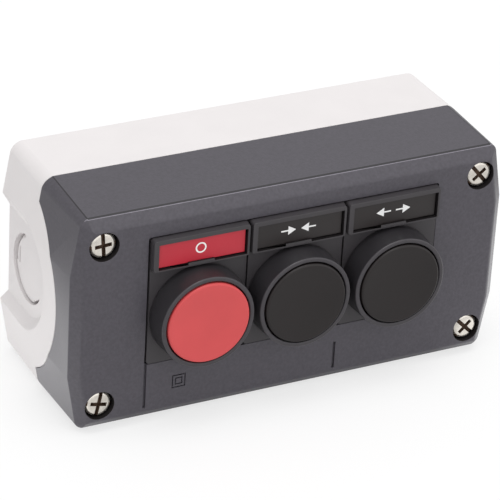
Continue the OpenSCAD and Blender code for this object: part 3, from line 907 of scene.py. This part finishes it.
    def gland_recess(self) -> Obj:
        """The recess in both ends round the knock-out, with straight flanks and a round front.

        Returns:
            The cutters for both ends.
        """
        far, deep = self.half_l + 2 * OVER, self.half_l - self.draft_back - self.floor_x
        top, bottom = (flank / deep for flank in self.flanks)
        lean, spread = (top - bottom) / 2, (top + bottom) / 2 * (far - self.floor_x)
        obj = Bench.rod("gland_recess", self.gland_half, self.floor_x, far, self.knockout_z, spread)
        shear = Matrix.Identity(4)
        shear[1][0], shear[1][3] = lean, -lean * self.floor_x * MM
        obj.data.transform(shear)
        Bench.trim(obj, [((0, 0, self.knockout_z), (0, 0, -1))])
        Bench.pull(obj, (0, 0, -self.knockout_z - 2 * OVER))
        return Bench.both_ends(obj)

    def ring(self, radius: float, width: float, low_x: float, high_x: float, low: Point, high: Point) -> Obj:
        """Part of a ring about the middle of the knock-out.

        Args:
            radius: Its outer radius.
            width: Its width.
            low_x: Where it begins.
            high_x: Where it ends.
            low: Lowest (y, z) corner of the window that it is kept in.
            high: Highest (y, z) corner of that window.

        Returns:
            The new solid.
        """
        obj = Bench.rod("ring", radius, low_x, high_x, self.knockout_z)
        low_x, high_x = low_x - OVER, high_x + OVER
        Bench.cut(obj, Bench.rod("inside", radius - width, low_x, high_x, self.knockout_z))
        return Bench.meet(obj, Bench.block("window", (low_x, *low), (high_x, *high)))

    def knockout(self) -> Obj:
        """The sunk face of the knock-out with its groove, wider in places, and its slot.

        Returns:
            The cutters for both ends.
        """
        radius, face = self.knockout_d / 2, self.floor_x - self.knockout_sink
        obj = Bench.rod("knockout", radius, face, self.floor_x + 2 * OVER, self.knockout_z)
        for less, width, floor, top, low, high in self.knockout_cuts:
            Bench.add(obj, self.ring(radius - less, width, face + floor, face + top, low, high))
        floor, top, low, high = self.knockout_slot
        Bench.add(obj, Bench.block("slot", (face + floor, *low), (face + top, *high)))
        return Bench.both_ends(obj)

    def base(self) -> None:
        """Models the rear base: tray with arched ends, gland recesses, knock-outs, posts and claws."""
        obj = self.body("base_shell", 0.0, 0.0, CASE_D, turns=self.base_turns)
        Bench.meet(obj, self.behind("behind", 0.0))
        Bench.cut(obj, self.gland_recess(), self.at_fixings(self.fixing_d, -OVER, self.fixing_reach))
        Bench.round_edges(obj, self.base_round, angle=24)
        Bench.cut(obj, self.knockout())
        hollow = self.body("hollow", self.wall, self.floor, CLEAR)
        pads = Bench.both_ends(Bench.block(
            "pads", (self.floor_x - self.wall, -self.pad_half, 0),
            (self.half_l, self.pad_half, self.knockout_z + self.gland_half + self.pad_over),
        ))
        Bench.cut(hollow, pads, self.at_screws(self.post_d, 0, self.base_d - self.post_gap),
                  self.at_fixings(self.boss_d, 0, self.boss_z))
        Bench.cut(obj, hollow, self.at_fixings(self.fixing_d, -OVER, self.fixing_reach),
                  self.at_screws(self.pilot_d, self.pilot_z, self.base_d + self.pilot_z))
        groove = self.band("groove", self.gasket_w + self.gasket_play)
        Bench.meet(groove, self.behind("near", -OVER))
        Bench.cut(groove, self.behind("far", self.gasket_d))
        Bench.cut(obj, groove)
        Bench.add(obj, self.claws())
        Bench.deliver(obj, Slot.base_grey, "enclosure", "base", angle=self.crease)

    def claws(self) -> Obj:
        """The claws on the floor of the base that hold the feet of the contact blocks.

        Returns:
            All of them as one object.
        """
        x, y = self.claw_half, self.claw_y
        claw = Bench.block("claw", (-x, y, self.floor - self.play), (x, y + self.claw_t, self.claw_top))
        Bench.add(claw, Bench.block(
            "hook", (-x, y + self.hook_y[0], self.hook_z[0]), (x, y + self.hook_y[1], self.hook_z[1])
        ))
        Bench.round_edges(claw, self.side_round, 2, clamp=True, angle=40)
        both = Bench.both_ends(claw, (0, 1, 0))
        made = [Bench.copy(both, "claws", Matrix.Translation((s.x * MM, 0, 0))) for s in Station]
        bpy.data.objects.remove(both, do_unlink=True)
        return Bench.gather(*made)

    def recess(self) -> Obj:
        """The recess of the three legend holders, as a cutter with rounded corners.

        Returns:
            The cutter.
        """
        half = PITCH + PLATE_W / 2 + self.play
        obj = Bench.block(
            "recess", (-half - self.recess_left, PLATE_LOW - self.play, CASE_D - self.plate_t),
            (half, PLATE_TOP + self.play + self.recess_above, CLEAR),
        )
        return Bench.round_chosen(obj, self.recess_corner, 3, Bench.is_upright)

    def grooves(self) -> Obj:
        """The thin dividing grooves below the legend holders, as cutters.

        Returns:
            The cutters, as one object.
        """
        low = -self.half_h + self.draft_front + self.bevel_w - self.groove_out
        tops = ((-1.5 * PITCH, PLATE_LOW + self.groove_in),
                (PITCH / 2 - self.groove_shift, PLATE_LOW - self.groove_gap))
        return Bench.gather(*(
            Bench.block("groove", (x - self.groove_w / 2, low, CASE_D - self.groove_d),
                        (x + self.groove_w / 2, high, CLEAR))
            for x, high in tops
        ))

    def mark(self) -> Obj:
        """Two nested squares, engraved below the left-hand button.

        Returns:
            The cutters.
        """
        x, y = self.mark_at
        made = []
        for half in self.mark_halves:
            ring = Bench.block("mark", (x - half, y - half, CASE_D - self.mark_d),
                               (x + half, y + half, CLEAR))
            half -= self.mark_line
            Bench.cut(ring, Bench.block("inside", (x - half, y - half, CASE_D - OVER),
                                        (x + half, y + half, CLEAR)))
            made.append(ring)
        return Bench.gather(*made)

    def button_holes(self) -> Obj:
        """The three button holes with their keyways, as cutters.

        Returns:
            The cutters, as one object.
        """
        low, high = self.keyway_y
        made = []
        for s in Station:
            left, right = s.x - self.keyway_half, s.x + self.keyway_half
            key = Bench.block("key", (left, low, 0), (right, high, CLEAR))
            made.append(Bench.add(Bench.disc("hole", HOLE_D, 0, CLEAR, (s.x, 0)), key))
        return Bench.gather(*made)

    def is_top_edge(self, middle: Vector) -> bool:
        """Whether a point lies on the rounded edge above the bevel along the top."""
        down, along = self.edge_reach
        return middle.y > self.half_h - down and abs(middle.z - CASE_D + self.bevel_d) < along

    def is_lit(self, middle: Vector, normal: Vector) -> bool:
        """Whether a face of the top edge gets the painted highlight."""
        return self.is_top_edge(middle) and self.edge_lift[0] < normal.y < self.edge_lift[1]

    def is_dim(self, middle: Vector, normal: Vector) -> bool:
        """Whether a face lies in the painted shade line behind the top edge or at an upper corner.

        Args:
            middle: Middle of the face, in millimetres.
            normal: Its normal.

        Returns:
            True when it gets painted shade.
        """
        up, least, most = self.corner_lift
        edge = self.is_top_edge(middle) and self.edge_lift[1] < normal.y < self.edge_lift[2]
        corner = normal.y > up and least < abs(normal.x) < most
        return edge or corner and middle.y > self.half_h - 2 * OVER

    def is_bore(self, middle: Vector, normal: Vector) -> bool:
        """Whether a point lies in the counterbore of a cover screw.

        Args:
            middle: The point, in millimetres.
            normal: Normal there, which is not used.

        Returns:
            True when it is within one of the four.
        """
        x, y = (abs(place) - spread / 2 for place, spread in zip(middle, SCREW_SPREAD))
        low, high = self.counterbore_z - self.play, CASE_D - 2 * self.play
        return math.hypot(x, y) < self.counterbore_d / 2 + 2 * NEAR and low < middle.z < high

    def cover(self) -> None:
        """Models the cover: bevelled shell with counterbores, recess, grooves, posts and lips."""
        obj = self.body("cover_shell", 0.0, self.base_d - self.skirt, CASE_D, True, self.cover_turns)
        bevel_z = CASE_D - self.bevel_d
        Bench.round_chosen(obj, self.front_round, 4, lambda middle, way: middle.z > CASE_D - NEAR)
        Bench.round_chosen(obj, self.ridge_round, 4, lambda middle, way: (
            abs(way.x) > ALIGNED and abs(middle.z - bevel_z) < NEAR
        ))
        Bench.round_edges(obj, self.side_round, angle=18)
        Bench.cut(obj, self.behind("behind", -self.seam),
                  self.at_screws(self.counterbore_d, self.counterbore_z, CLEAR),
                  self.grooves(), self.mark())
        Bench.round_edges(obj, self.detail_round, 2, angle=44)
        Bench.cut(obj, self.recess())
        hollow = self.body("hollow", self.wall, 0.0, CASE_D - self.lid)
        Bench.cut(hollow, self.at_screws(self.cover_post_d, -OVER, CLEAR))
        Bench.cut(obj, hollow)
        inner, outer, root = self.lip_y
        x, low, high = self.lip_half, self.base_d - self.lip_reach, self.base_d + self.lip_reach
        lips = Bench.block("lips", (-x, inner, low), (x, outer, high))
        Bench.add(lips, Bench.block("root", (-x, inner, self.base_d + self.seam), (x, root, high)))
        Bench.add(obj, Bench.both_ends(lips, (0, 1, 0)))
        Bench.cut(obj, self.at_screws(self.screw_hole_d, 0, CLEAR), self.button_holes())
        wide, narrow = self.seat_d
        for s in Station:
            seat = Bench.disc("seat", wide, CASE_D - self.plate_t - self.seat_sink, CASE_D, (s.x, 0))
            Bench.cut(obj, Bench.cut(seat, Bench.disc("inside", narrow, 0, CLEAR, (s.x, 0))))
        # Painted highlight on the rounded edge above the bevel along the top.
        Bench.paint(obj, PAINTED_EDGE_HIGHLIGHT, self.is_lit)
        # Painted shade in a line behind that edge and on the upper corners.
        Bench.paint(obj, PAINTED_EDGE_SHADE, self.is_dim)
        # Painted shade in the four counterbores.
        Bench.paint(obj, SHADE_BLACK, self.is_bore)
        Bench.deliver(obj, Slot.cover_grey, "enclosure", "cover", angle=self.crease)


@dataclass
class CoverScrews:
    """The four cover screws, each turned its own way."""

    head_d: float = 8.0
    head_t: float = 2.6
    seat: float = 47.9
    tip: float = 9.0
    tip_chamfer: Pair = (0.6, 0.8)
    shank_d: float = 4.0
    dome: Pair = (1.3, 1.15)
    dome_steps: int = 6
    dome_flat: float = 0.4
    slot_w: float = 1.15
    slot_t: float = 1.5
    arm: float = 0.62
    edge_round: float = 0.1
    turns: dict[Pair, float] = field(
        default_factory=lambda: {(-1, -1): -12, (-1, 1): 4, (1, -1): 45, (1, 1): 40}
    )

    def is_slot(self, middle: Vector, normal: Vector) -> bool:
        """Whether a point of a screw lies in its crossed slots.

        Args:
            middle: The point, in millimetres.
            normal: Normal there, which is not used.

        Returns:
            True when it is in a slot and not at its ends.
        """
        x, y, z = abs(middle.x), abs(middle.y), middle.z - self.seat - self.head_t
        return (-self.slot_t - self.edge_round < z < -2 * self.edge_round
                and min(x, y) < (self.slot_w + self.edge_round) / 2
                and math.hypot(x, y) < self.head_d / 2 - self.edge_round)

    def screw(self) -> Obj:
        """One screw, standing on its tip.

        Returns:
            The screw at the middle of the box.
        """
        top, half, shank = self.seat + self.head_t, self.head_d / 2, self.shank_d / 2
        out, up = self.dome
        inward, rise = self.tip_chamfer
        profile = [(0, self.tip), (shank - inward, self.tip), (shank, self.tip + rise),
                   (shank, self.seat), (half, self.seat), (half, top - up)]
        for step in range(1, self.dome_steps + 1):
            t = math.radians(90 * step / self.dome_steps)
            profile.append((half - out * (1 - math.cos(t)), top - up * (1 - math.sin(t))))
        profile += [(half * self.dome_flat, top), (0, top)]
        obj = Bench.turned("screw", profile, steps=72)
        slot, long, arm = self.slot_w / 2, half + OVER, half * self.arm
        low, high = top - self.slot_t, top + OVER
        Bench.cut(obj, Bench.block("slot", (-slot, -long, low), (slot, long, high)),
                  Bench.block("arm", (-arm, -slot, low), (arm, slot, high)))
        Bench.round_edges(obj, self.edge_round, 2, clamp=True, angle=50)
        obj.data.materials.clear()
        # Painted shade in the crossed slots.
        Bench.paint(obj, PAINTED_SLOT_SHADE, self.is_slot)
        obj.data.materials[0] = Slot.screw_steel.value.material()
        return obj

    def make(self) -> None:
        """Makes the set of four and delivers it as one piece."""
        one = self.screw()
        x, y = (spread / 2 * MM for spread in SCREW_SPREAD)
        made = []
        for (sx, sy), turn in self.turns.items():
            place = Matrix.Translation((sx * x, sy * y, 0))
            turned = place @ Matrix.Rotation(math.radians(turn), 4, "Z")
            made.append(Bench.copy(one, "cover_screw_set", turned))
        bpy.data.objects.remove(one, do_unlink=True)
        Bench.deliver(Bench.gather(*made), Slot.screw_steel, "enclosure", "cover_screws")


@dataclass
class StationPiece:
    """What the pieces of one station share: they are made at the middle of the row and set in their place."""

    station: Station

    def set_in(self, obj: Obj, slot: Slot, body: str, node: str, y: float = 0.0, **looks: float) -> None:
        """Moves a piece to its station and delivers it for the CAD node of that name and station."""
        Bench.shift(obj, self.station.x, y)
        Bench.deliver(obj, slot, body, f"{node}_{self.station.name}", **looks)


@dataclass
class ButtonHead(StationPiece):
    """A flush button: bezel with its barrel, dished cap and return spring."""

    cap_slot: Slot
    foot_r: float = 14.5
    foot_t: float = 0.8
    rim_r: float = 14.1
    # Depth below the rim top that gets the painted sheen
    rim_light: float = 0.4
    bore_r: float = 12.75
    barrel_r: float = 11.0
    barrel_bore_r: float = 8.5
    stem_r: float = 4.6
    rim_z: float = 59.5
    floor_z: float = 52.55
    barrel_end: float = 37.5
    collar_z: float = 39.5
    bezel_round: float = 0.42
    key_low: Triple = (-1.5, 10.8, 48.0)
    key_high: Triple = (1.5, 11.9, 50.0)
    cap_r: float = 12.4
    cap_top: float = 60.0
    cap_low: float = 57.2
    cap_edge: float = 0.7
    skirt_w: float = 1.1
    skirt_top: float = 58.4
    dish: float = 0.7
    edge_steps: int = 6
    dish_steps: int = 10
    coil_d: float = 14.0
    coil_wire: float = 1.0
    coil_low: float = 39.6
    coil_high: float = 57.1
    coil_turns: int = 6

    def bezel(self) -> None:
        """Turns the bezel with its rim, floor, barrel and guide collar, and adds the key."""
        obj = Bench.turned(f"bezel_ring_{self.station.name}", [
            (self.stem_r, self.barrel_end), (self.barrel_r, self.barrel_end), (self.barrel_r, CASE_D),
            (self.foot_r, CASE_D), (self.foot_r, CASE_D + self.foot_t), (self.rim_r, self.rim_z),
            (self.bore_r, self.rim_z), (self.bore_r, self.floor_z), (self.barrel_bore_r, self.floor_z),
            (self.barrel_bore_r, self.collar_z), (self.stem_r, self.collar_z), (self.stem_r, self.barrel_end),
        ])
        Bench.round_edges(obj, self.bezel_round, 4, angle=40)
        Bench.add(obj, Bench.block("key", self.key_low, self.key_high))
        # Painted sheen on the rim faces.
        Bench.paint(obj, PAINTED_RIM_SHEEN, lambda middle, normal: middle.z > self.rim_z - self.rim_light)
        self.set_in(obj, Slot.bezel_black, "enclosure", "bezel")

    def cap(self) -> None:
        """Turns the dished cap with its rounded edge and its skirt."""
        flat, skirt = self.cap_r - self.cap_edge, self.cap_r - self.skirt_w
        dish_r = flat * flat / (2 * self.dish)
        profile = [(0, self.skirt_top), (skirt, self.skirt_top), (skirt, self.cap_low),
                   (self.cap_r, self.cap_low)]
        for step in range(self.edge_steps + 1):
            t = math.radians(90 * step / self.edge_steps)
            drop = self.cap_edge * (1 - math.sin(t))
            profile.append((flat + self.cap_edge * math.cos(t), self.cap_top - drop))
        for step in reversed(range(self.dish_steps)):
            x = flat * step / self.dish_steps
            rise = dish_r - math.sqrt(dish_r * dish_r - x * x)
            profile.append((x, self.cap_top - self.dish + rise))
        obj = Bench.turned(f"cap_face_{self.station.name}", profile)
        self.set_in(obj, self.cap_slot, f"button_{self.station.name}", "cap", angle=40)

    def spring(self) -> None:
        """Winds the return spring and gives it a mesh of its own; the real spring flattens as the button is
        pressed.
        """
        obj = Bench.coil(f"return_coil_{self.station.name}", self.coil_d, self.coil_wire,
                         self.coil_low, self.coil_high, self.coil_turns)
        self.set_in(obj, Slot.spring_steel, "enclosure", "return_spring", weighted=False)
        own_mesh(obj)


class Sign(Enum):
    """Generic marks on the legends."""

    ring = "ring"
    arrows_in = "arrows_in"
    arrows_out = "arrows_out"


@dataclass
class LegendHolder(StationPiece):
    """A legend holder, its plate under the bezel and its raised frame, with the legend in its window."""

    legend_slot: Slot
    sign: Sign
    frame_h: float = 10.2
    back_z: float = 50.0
    frame_top: float = 53.5
    frame_lean: float = 0.12
    plate_corner: float = 1.0
    frame_corner: float = 0.9
    edge_round: float = 0.16
    legend_l: float = 27.0
    legend_h: float = 8.0
    legend_z: float = 51.6
    legend_top: float = 52.5
    legend_play: float = 0.1
    legend_round: float = 0.1
    lip: float = 0.5
    open: float = 0.35
    tab: Triple = (8.0, 0.65, 0.2)
    # Where the painted shade round the legend reaches: margin, distance below the frame top, and the facing
    # share below which a face counts as a wall
    dark_margin: float = 0.06
    dark_below: float = 0.3
    facing: float = 0.5
    ring_r: Pair = (1.2, 1.65)
    print_z: Pair = (-0.05, 0.03)
    shaft_l: float = 2.6
    shaft_half: float = 0.22
    head_d: float = 3.2
    head_x: float = 3.0
    inward_shift: float = -5.4
    outward_shift: float = 0.8

    @property
    def middle(self) -> float:
        """Height of the middle of the frame above the middle of the button."""
        return PLATE_TOP - self.frame_h / 2

    @property
    def foot(self) -> float:
        """Height of the lower edge of the window above the middle of the button."""
        return self.middle - self.legend_h / 2 - self.open

    def is_gap(self, middle: Vector, normal: Vector) -> bool:
        """Whether a face of the frame lies deep in the gap round the legend.

        Args:
            middle: Middle of the face, in millimetres.
            normal: Its normal.

        Returns:
            True when it gets painted shade.
        """
        x, y, margin = self.legend_l / 2, self.middle + self.legend_h / 2, self.dark_margin
        return (abs(middle.x) < x + self.open + margin and self.foot - margin < middle.y < y
                and self.legend_z - NEAR < middle.z < self.frame_top - self.dark_below
                and (normal.z < self.facing or middle.z < self.legend_top))

    def plate(self) -> None:
        """Models the plate with its hole, the frame with its drafted sides, the window and its tab."""
        half, low = PLATE_W / 2, PLATE_TOP - self.frame_h
        obj = Bench.block(f"holder_plate_{self.station.name}", (-half, PLATE_LOW, self.back_z),
                          (half, PLATE_TOP, CASE_D))
        Bench.round_chosen(obj, self.plate_corner, 4, Bench.is_upright)
        rim = Bench.block("rim", (-half, low, self.back_z), (half, PLATE_TOP, self.frame_top))
        Bench.trim(rim, [
            ((x, y, CASE_D), (nx, ny, self.frame_lean))
            for x, y, nx, ny in ((half, 0, 1, 0), (-half, 0, -1, 0), (0, PLATE_TOP, 0, 1), (0, low, 0, -1))
        ])
        Bench.round_chosen(rim, self.frame_corner, 4, Bench.is_upright)
        Bench.add(obj, rim)
        Bench.cut(obj, Bench.disc("hole", HOLE_D, 0, CLEAR))
        x, y = self.legend_l / 2, self.legend_h / 2
        window = Bench.block("window", (-x + self.lip, self.foot, self.legend_z),
                             (x + self.open, self.middle + y - self.lip, CLEAR))
        length, width, drop = self.tab
        Bench.cut(window, Bench.block("tab", (-length / 2, self.foot - OVER, self.legend_top),
                                      (length / 2, self.foot + width, self.frame_top - drop)))
        Bench.cut(obj, window)
        Bench.round_edges(obj, self.edge_round, 2, angle=40)
        x, y = x + self.legend_play, y + self.legend_play
        Bench.cut(obj, Bench.block("bed", (-x, self.middle - y, self.legend_z),
                                   (x, self.middle + y, self.legend_top)))
        # Painted shade on the walls and floor of the gap round the legend.
        Bench.paint(obj, SHADE_BLACK, self.is_gap)
        self.set_in(obj, Slot.holder_black, "enclosure", "legend_holder")

    def legend(self) -> None:
        """Models the legend insert and prints its sign on it."""
        x, y = self.legend_l / 2, self.legend_h / 2
        name = f"legend_insert_{self.station.name}"
        obj = Bench.block(name, (-x, -y, self.legend_z), (x, y, self.legend_top))
        Bench.round_edges(obj, self.legend_round, 2, angle=40)
        if self.sign is Sign.ring:
            mark = self.ring()
        else:
            mark = Bench.gather(*(self.arrow(side, self.sign is Sign.arrows_in) for side in (-1, 1)))
        obj.data.materials.append(self.legend_slot.value.material())
        mark.data.materials.append(PRINT_WHITE.material())
        self.set_in(Bench.gather(obj, mark), self.legend_slot, "enclosure", "legend", self.middle)

    def ring(self) -> Obj:
        """A plain ring.

        Returns:
            The ring, as raised print.
        """
        low, high = (self.legend_top + z for z in self.print_z)
        inner, outer = self.ring_r
        profile = [(inner, low), (outer, low), (outer, high), (inner, high), (inner, low)]
        return Bench.turned("sign", profile, steps=64)

    def arrow(self, side: int, inward: bool) -> Obj:
        """One arrow of a pair.

        Args:
            side: Its side of the middle, -1 or 1.
            inward: Whether it points to the middle.

        Returns:
            The new object.
        """
        low, high = (self.legend_top + z for z in self.print_z)
        shaft = Bench.block("sign", (0, -self.shaft_half, low), (self.shaft_l, self.shaft_half, high))
        head = Bench.disc("head", self.head_d, low, high, (self.head_x, 0), 3)
        there = Matrix.Translation((self.head_x * MM, 0, 0))
        head.data.transform(there @ Matrix.Rotation(math.radians(-90), 4, "Z") @ there.inverted())
        Bench.add(shaft, head)
        Bench.shift(shaft, self.inward_shift if inward else self.outward_shift)
        if (side > 0) == inward:
            shaft.data.transform(Matrix.Rotation(math.pi, 4, "Z"))
        return shaft


@dataclass
class ContactBlock(StationPiece):
    """The two springs of one contact block inside the box."""

    contact_travel: float = 2.58
    # The pusher's and the bridge's spring: mean diameter, wire and turns
    pusher: tuple[float, float, int] = (3.8, 0.6, 7)
    bridge: tuple[float, float, int] = (3.2, 0.4, 3)

    def springs(self) -> None:
        """Winds the pusher's spring and the contact's spring, and works out how much each gives."""
        self.spring("pusher_spring", self.pusher, "enclosure", "slide", TRAVEL, True)
        give = TRAVEL - self.contact_travel if self.station is not Station.stop else 0.0
        self.spring("bridge_spring", self.bridge, f"slider_{self.station.name}", "contact_slide", give, False)

    def spring(self, node: str, wound: tuple[float, float, int], body: str, joint: str, give: float,
               foot: bool) -> None:
        """Winds one spring where the CAD model has it, with a mesh of its own where it gives.

        Args:
            node: The CAD node that it stands for.
            wound: Mean diameter, wire diameter and number of turns.
            body: The body that it rides on.
            joint: The joint that flattens it. Not used.
            give: How much shorter it gets, in millimetres, or nothing where it keeps its length.
            foot: Whether its end at the wall stays in place, and not the other one. Not used.
        """
        name = self.station.name
        near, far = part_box(f"{node}_{name}")
        low, high = -far.y / MM, -near.y / MM
        obj = Bench.coil(f"{node.replace('spring', 'coil')}_{name}", *wound[:2], low, high, wound[2])
        self.set_in(obj, Slot.spring_steel, body, node, weighted=False)
        if give:
            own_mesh(obj)


def dress_carried_nodes() -> None:
    """Gives every CAD node that stays in view the procedural finish of its slot."""
    slots = {row["node"]: row["material_slot"] for row in frame["record"]["subparts"]}
    for name, obj in frame["nodes"].items():
        if obj.hide_render:
            continue
        finish = Slot[slots[name]].value.material()
        obj.data.materials.clear()
        obj.data.materials.append(finish)
        LOG.info("%s keeps its CAD mesh in %s", name, finish.name)


@dataclass
class Studio:
    """Pale floor, soft plain light and the camera at the photograph's angle."""

    focal: float = 227.4
    place: Triple = (-0.36980, -0.72800, 0.44140)
    right: Triple = (0.89674345, -0.4397104, 0.05005954)
    down: Triple = (-0.17529749, -0.45679015, -0.87213161)
    ahead: Triple = (0.40635204, 0.773303, -0.4867037)
    floor_z: float = -0.0341
    floor_size: float = 8.0
    floor_grey: tuple[float, ...] = (0.9, 0.9, 0.9, 1.0)
    floor_glow: float = 0.7
    # Painted glow on the floor: a shift and fold about the middle of the length, its centre, and the two
    # distances in metres over which its strength falls from the first to the second value
    fold: Triple = (0.0, 10.0, 0.0)
    sheen_centre: Triple = (0.11, 9.985, 0.0)
    sheen: tuple[float, float, float, float] = (0.035, 0.07, 2.7, 0.5)
    bright_side: Triple = (0.5, -0.85, 0.1)
    sky: Pair = (0.52, 1.25)
    key_place: Triple = (-0.1, -0.2, 1.7)
    key_size: float = 0.9
    key_power: float = 10.0
    sensor: float = 36.0
    clip: Pair = (0.01, 50.0)

    def camera(self) -> None:
        """Adds the camera."""
        data = bpy.data.cameras.new("camera")
        data.lens = self.focal
        data.sensor_width = self.sensor
        data.sensor_fit = "HORIZONTAL"
        data.clip_start, data.clip_end = self.clip
        obj = bpy.data.objects.new("camera", data)
        bpy.context.scene.collection.objects.link(obj)
        turn = Matrix((self.right, [-c for c in self.down], [-c for c in self.ahead])).transposed()
        obj.matrix_world = Matrix.Translation(self.place) @ turn.to_4x4()
        bpy.context.scene.camera = obj

    def floor(self) -> None:
        """Adds the floor, white to the camera, with the object's soft shadow and a painted glow beside both
        ends that only reflections see.
        """
        Bench.start()
        bpy.ops.mesh.primitive_plane_add(size=self.floor_size, location=(0, 0, self.floor_z))
        obj = bpy.context.object
        obj.name = "floor"
        made = bpy.data.materials.new("floor_white")
        made.use_nodes = True
        graph = Graph(made.node_tree)
        graph.nodes.clear()
        out = graph.add("OutputMaterial")
        matt = graph.add("BsdfDiffuse", {"Color": self.floor_grey})
        glow = graph.add("Emission")
        path = graph.add("LightPath")
        place = graph.add("TexCoord")
        # Painted glow: reflections see the floor glow brighter close beside both ends of the box and dimmer
        # further off, while the camera sees it evenly white.
        behind = graph.add("VectorMath", {1: self.fold})
        folded = graph.add("VectorMath", operation="ABSOLUTE")
        away = graph.add("VectorMath", {1: self.sheen_centre}, "DISTANCE")
        sheen = graph.add("MapRange", dict(zip(("From Min", "From Max", "To Min", "To Max"), self.sheen)))
        strength = graph.add("Mix", {"A": 1.0})
        seen = graph.add("Math", operation="MAXIMUM")
        share = graph.add("Math", {1: self.floor_glow}, "MULTIPLY")
        mix = graph.add("MixShader")
        graph.link(
            (place, "Object", behind, 0), (behind, "Vector", folded, 0), (folded, "Vector", away, 0),
            (away, "Value", sheen, "Value"), (sheen, "Result", strength, "B"),
            (path, "Is Glossy Ray", strength, "Factor"), (strength, "Result", glow, "Strength"),
            (path, "Is Camera Ray", seen, 0), (path, "Is Glossy Ray", seen, 1),
            (seen, "Value", share, 0), (share, "Value", mix, "Fac"),
            (matt, "BSDF", mix, 1), (glow, "Emission", mix, 2), (mix, "Shader", out, "Surface"),
        )
        obj.data.materials.append(made)

    def world(self) -> None:
        """Sets the pale surroundings, a little brighter in front than behind on the left."""
        world = bpy.data.worlds.new("studio")
        bpy.context.scene.world = world
        world.use_nodes = True
        graph = Graph(world.node_tree)
        back = graph.nodes["Background"]
        graph.fill(back, {"Color": (1, 1, 1, 1)})
        place = graph.add("TexCoord")
        toward = graph.add("VectorMath", {1: self.bright_side}, "DOT_PRODUCT")
        sky = graph.add("MapRange", {"From Min": -1.0, "To Min": self.sky[0], "To Max": self.sky[1]})
        path = graph.add("LightPath")
        strength = graph.add("Mix", {"B": 1.0})
        graph.link(
            (place, "Generated", toward, 0), (toward, "Value", sky, "Value"),
            (sky, "Result", strength, "A"), (path, "Is Camera Ray", strength, "Factor"),
            (strength, "Result", back, "Strength"),
        )

    def key(self) -> None:
        """Adds the square soft lamp above, which faces the object."""
        data = bpy.data.lights.new("key", "AREA")
        data.shape = "SQUARE"
        data.size = self.key_size
        data.energy = self.key_power
        obj = bpy.data.objects.new("key", data)
        bpy.context.scene.collection.objects.link(obj)
        obj.location = self.key_place
        obj.rotation_euler = (-Vector(self.key_place)).to_track_quat("-Z", "Y").to_euler()

    def make(self) -> None:
        """Sets the whole stage."""
        self.camera()
        self.floor()
        self.world()
        self.key()
        bpy.context.scene.view_settings.view_transform = "Standard"


def main() -> None:
    """Builds every sub-assembly in order."""
    logging.basicConfig(level=logging.INFO, format="%(name)s %(message)s")
    enclosure = Enclosure()
    enclosure.base()
    enclosure.cover()
    CoverScrews().make()
    looks = {
        Station.stop: (Slot.cap_red, Slot.legend_red, Sign.ring),
        Station.close: (Slot.cap_black, Slot.legend_black, Sign.arrows_in),
        Station.open: (Slot.cap_black, Slot.legend_black, Sign.arrows_out),
    }
    for station, (cap, legend, sign) in looks.items():
        head = ButtonHead(station, cap)
        head.bezel()
        head.cap()
        head.spring()
        holder = LegendHolder(station, legend, sign)
        holder.plate()
        holder.legend()
        ContactBlock(station).springs()
    dress_carried_nodes()
    Studio().make()


if __name__ == "__main__":
    main()
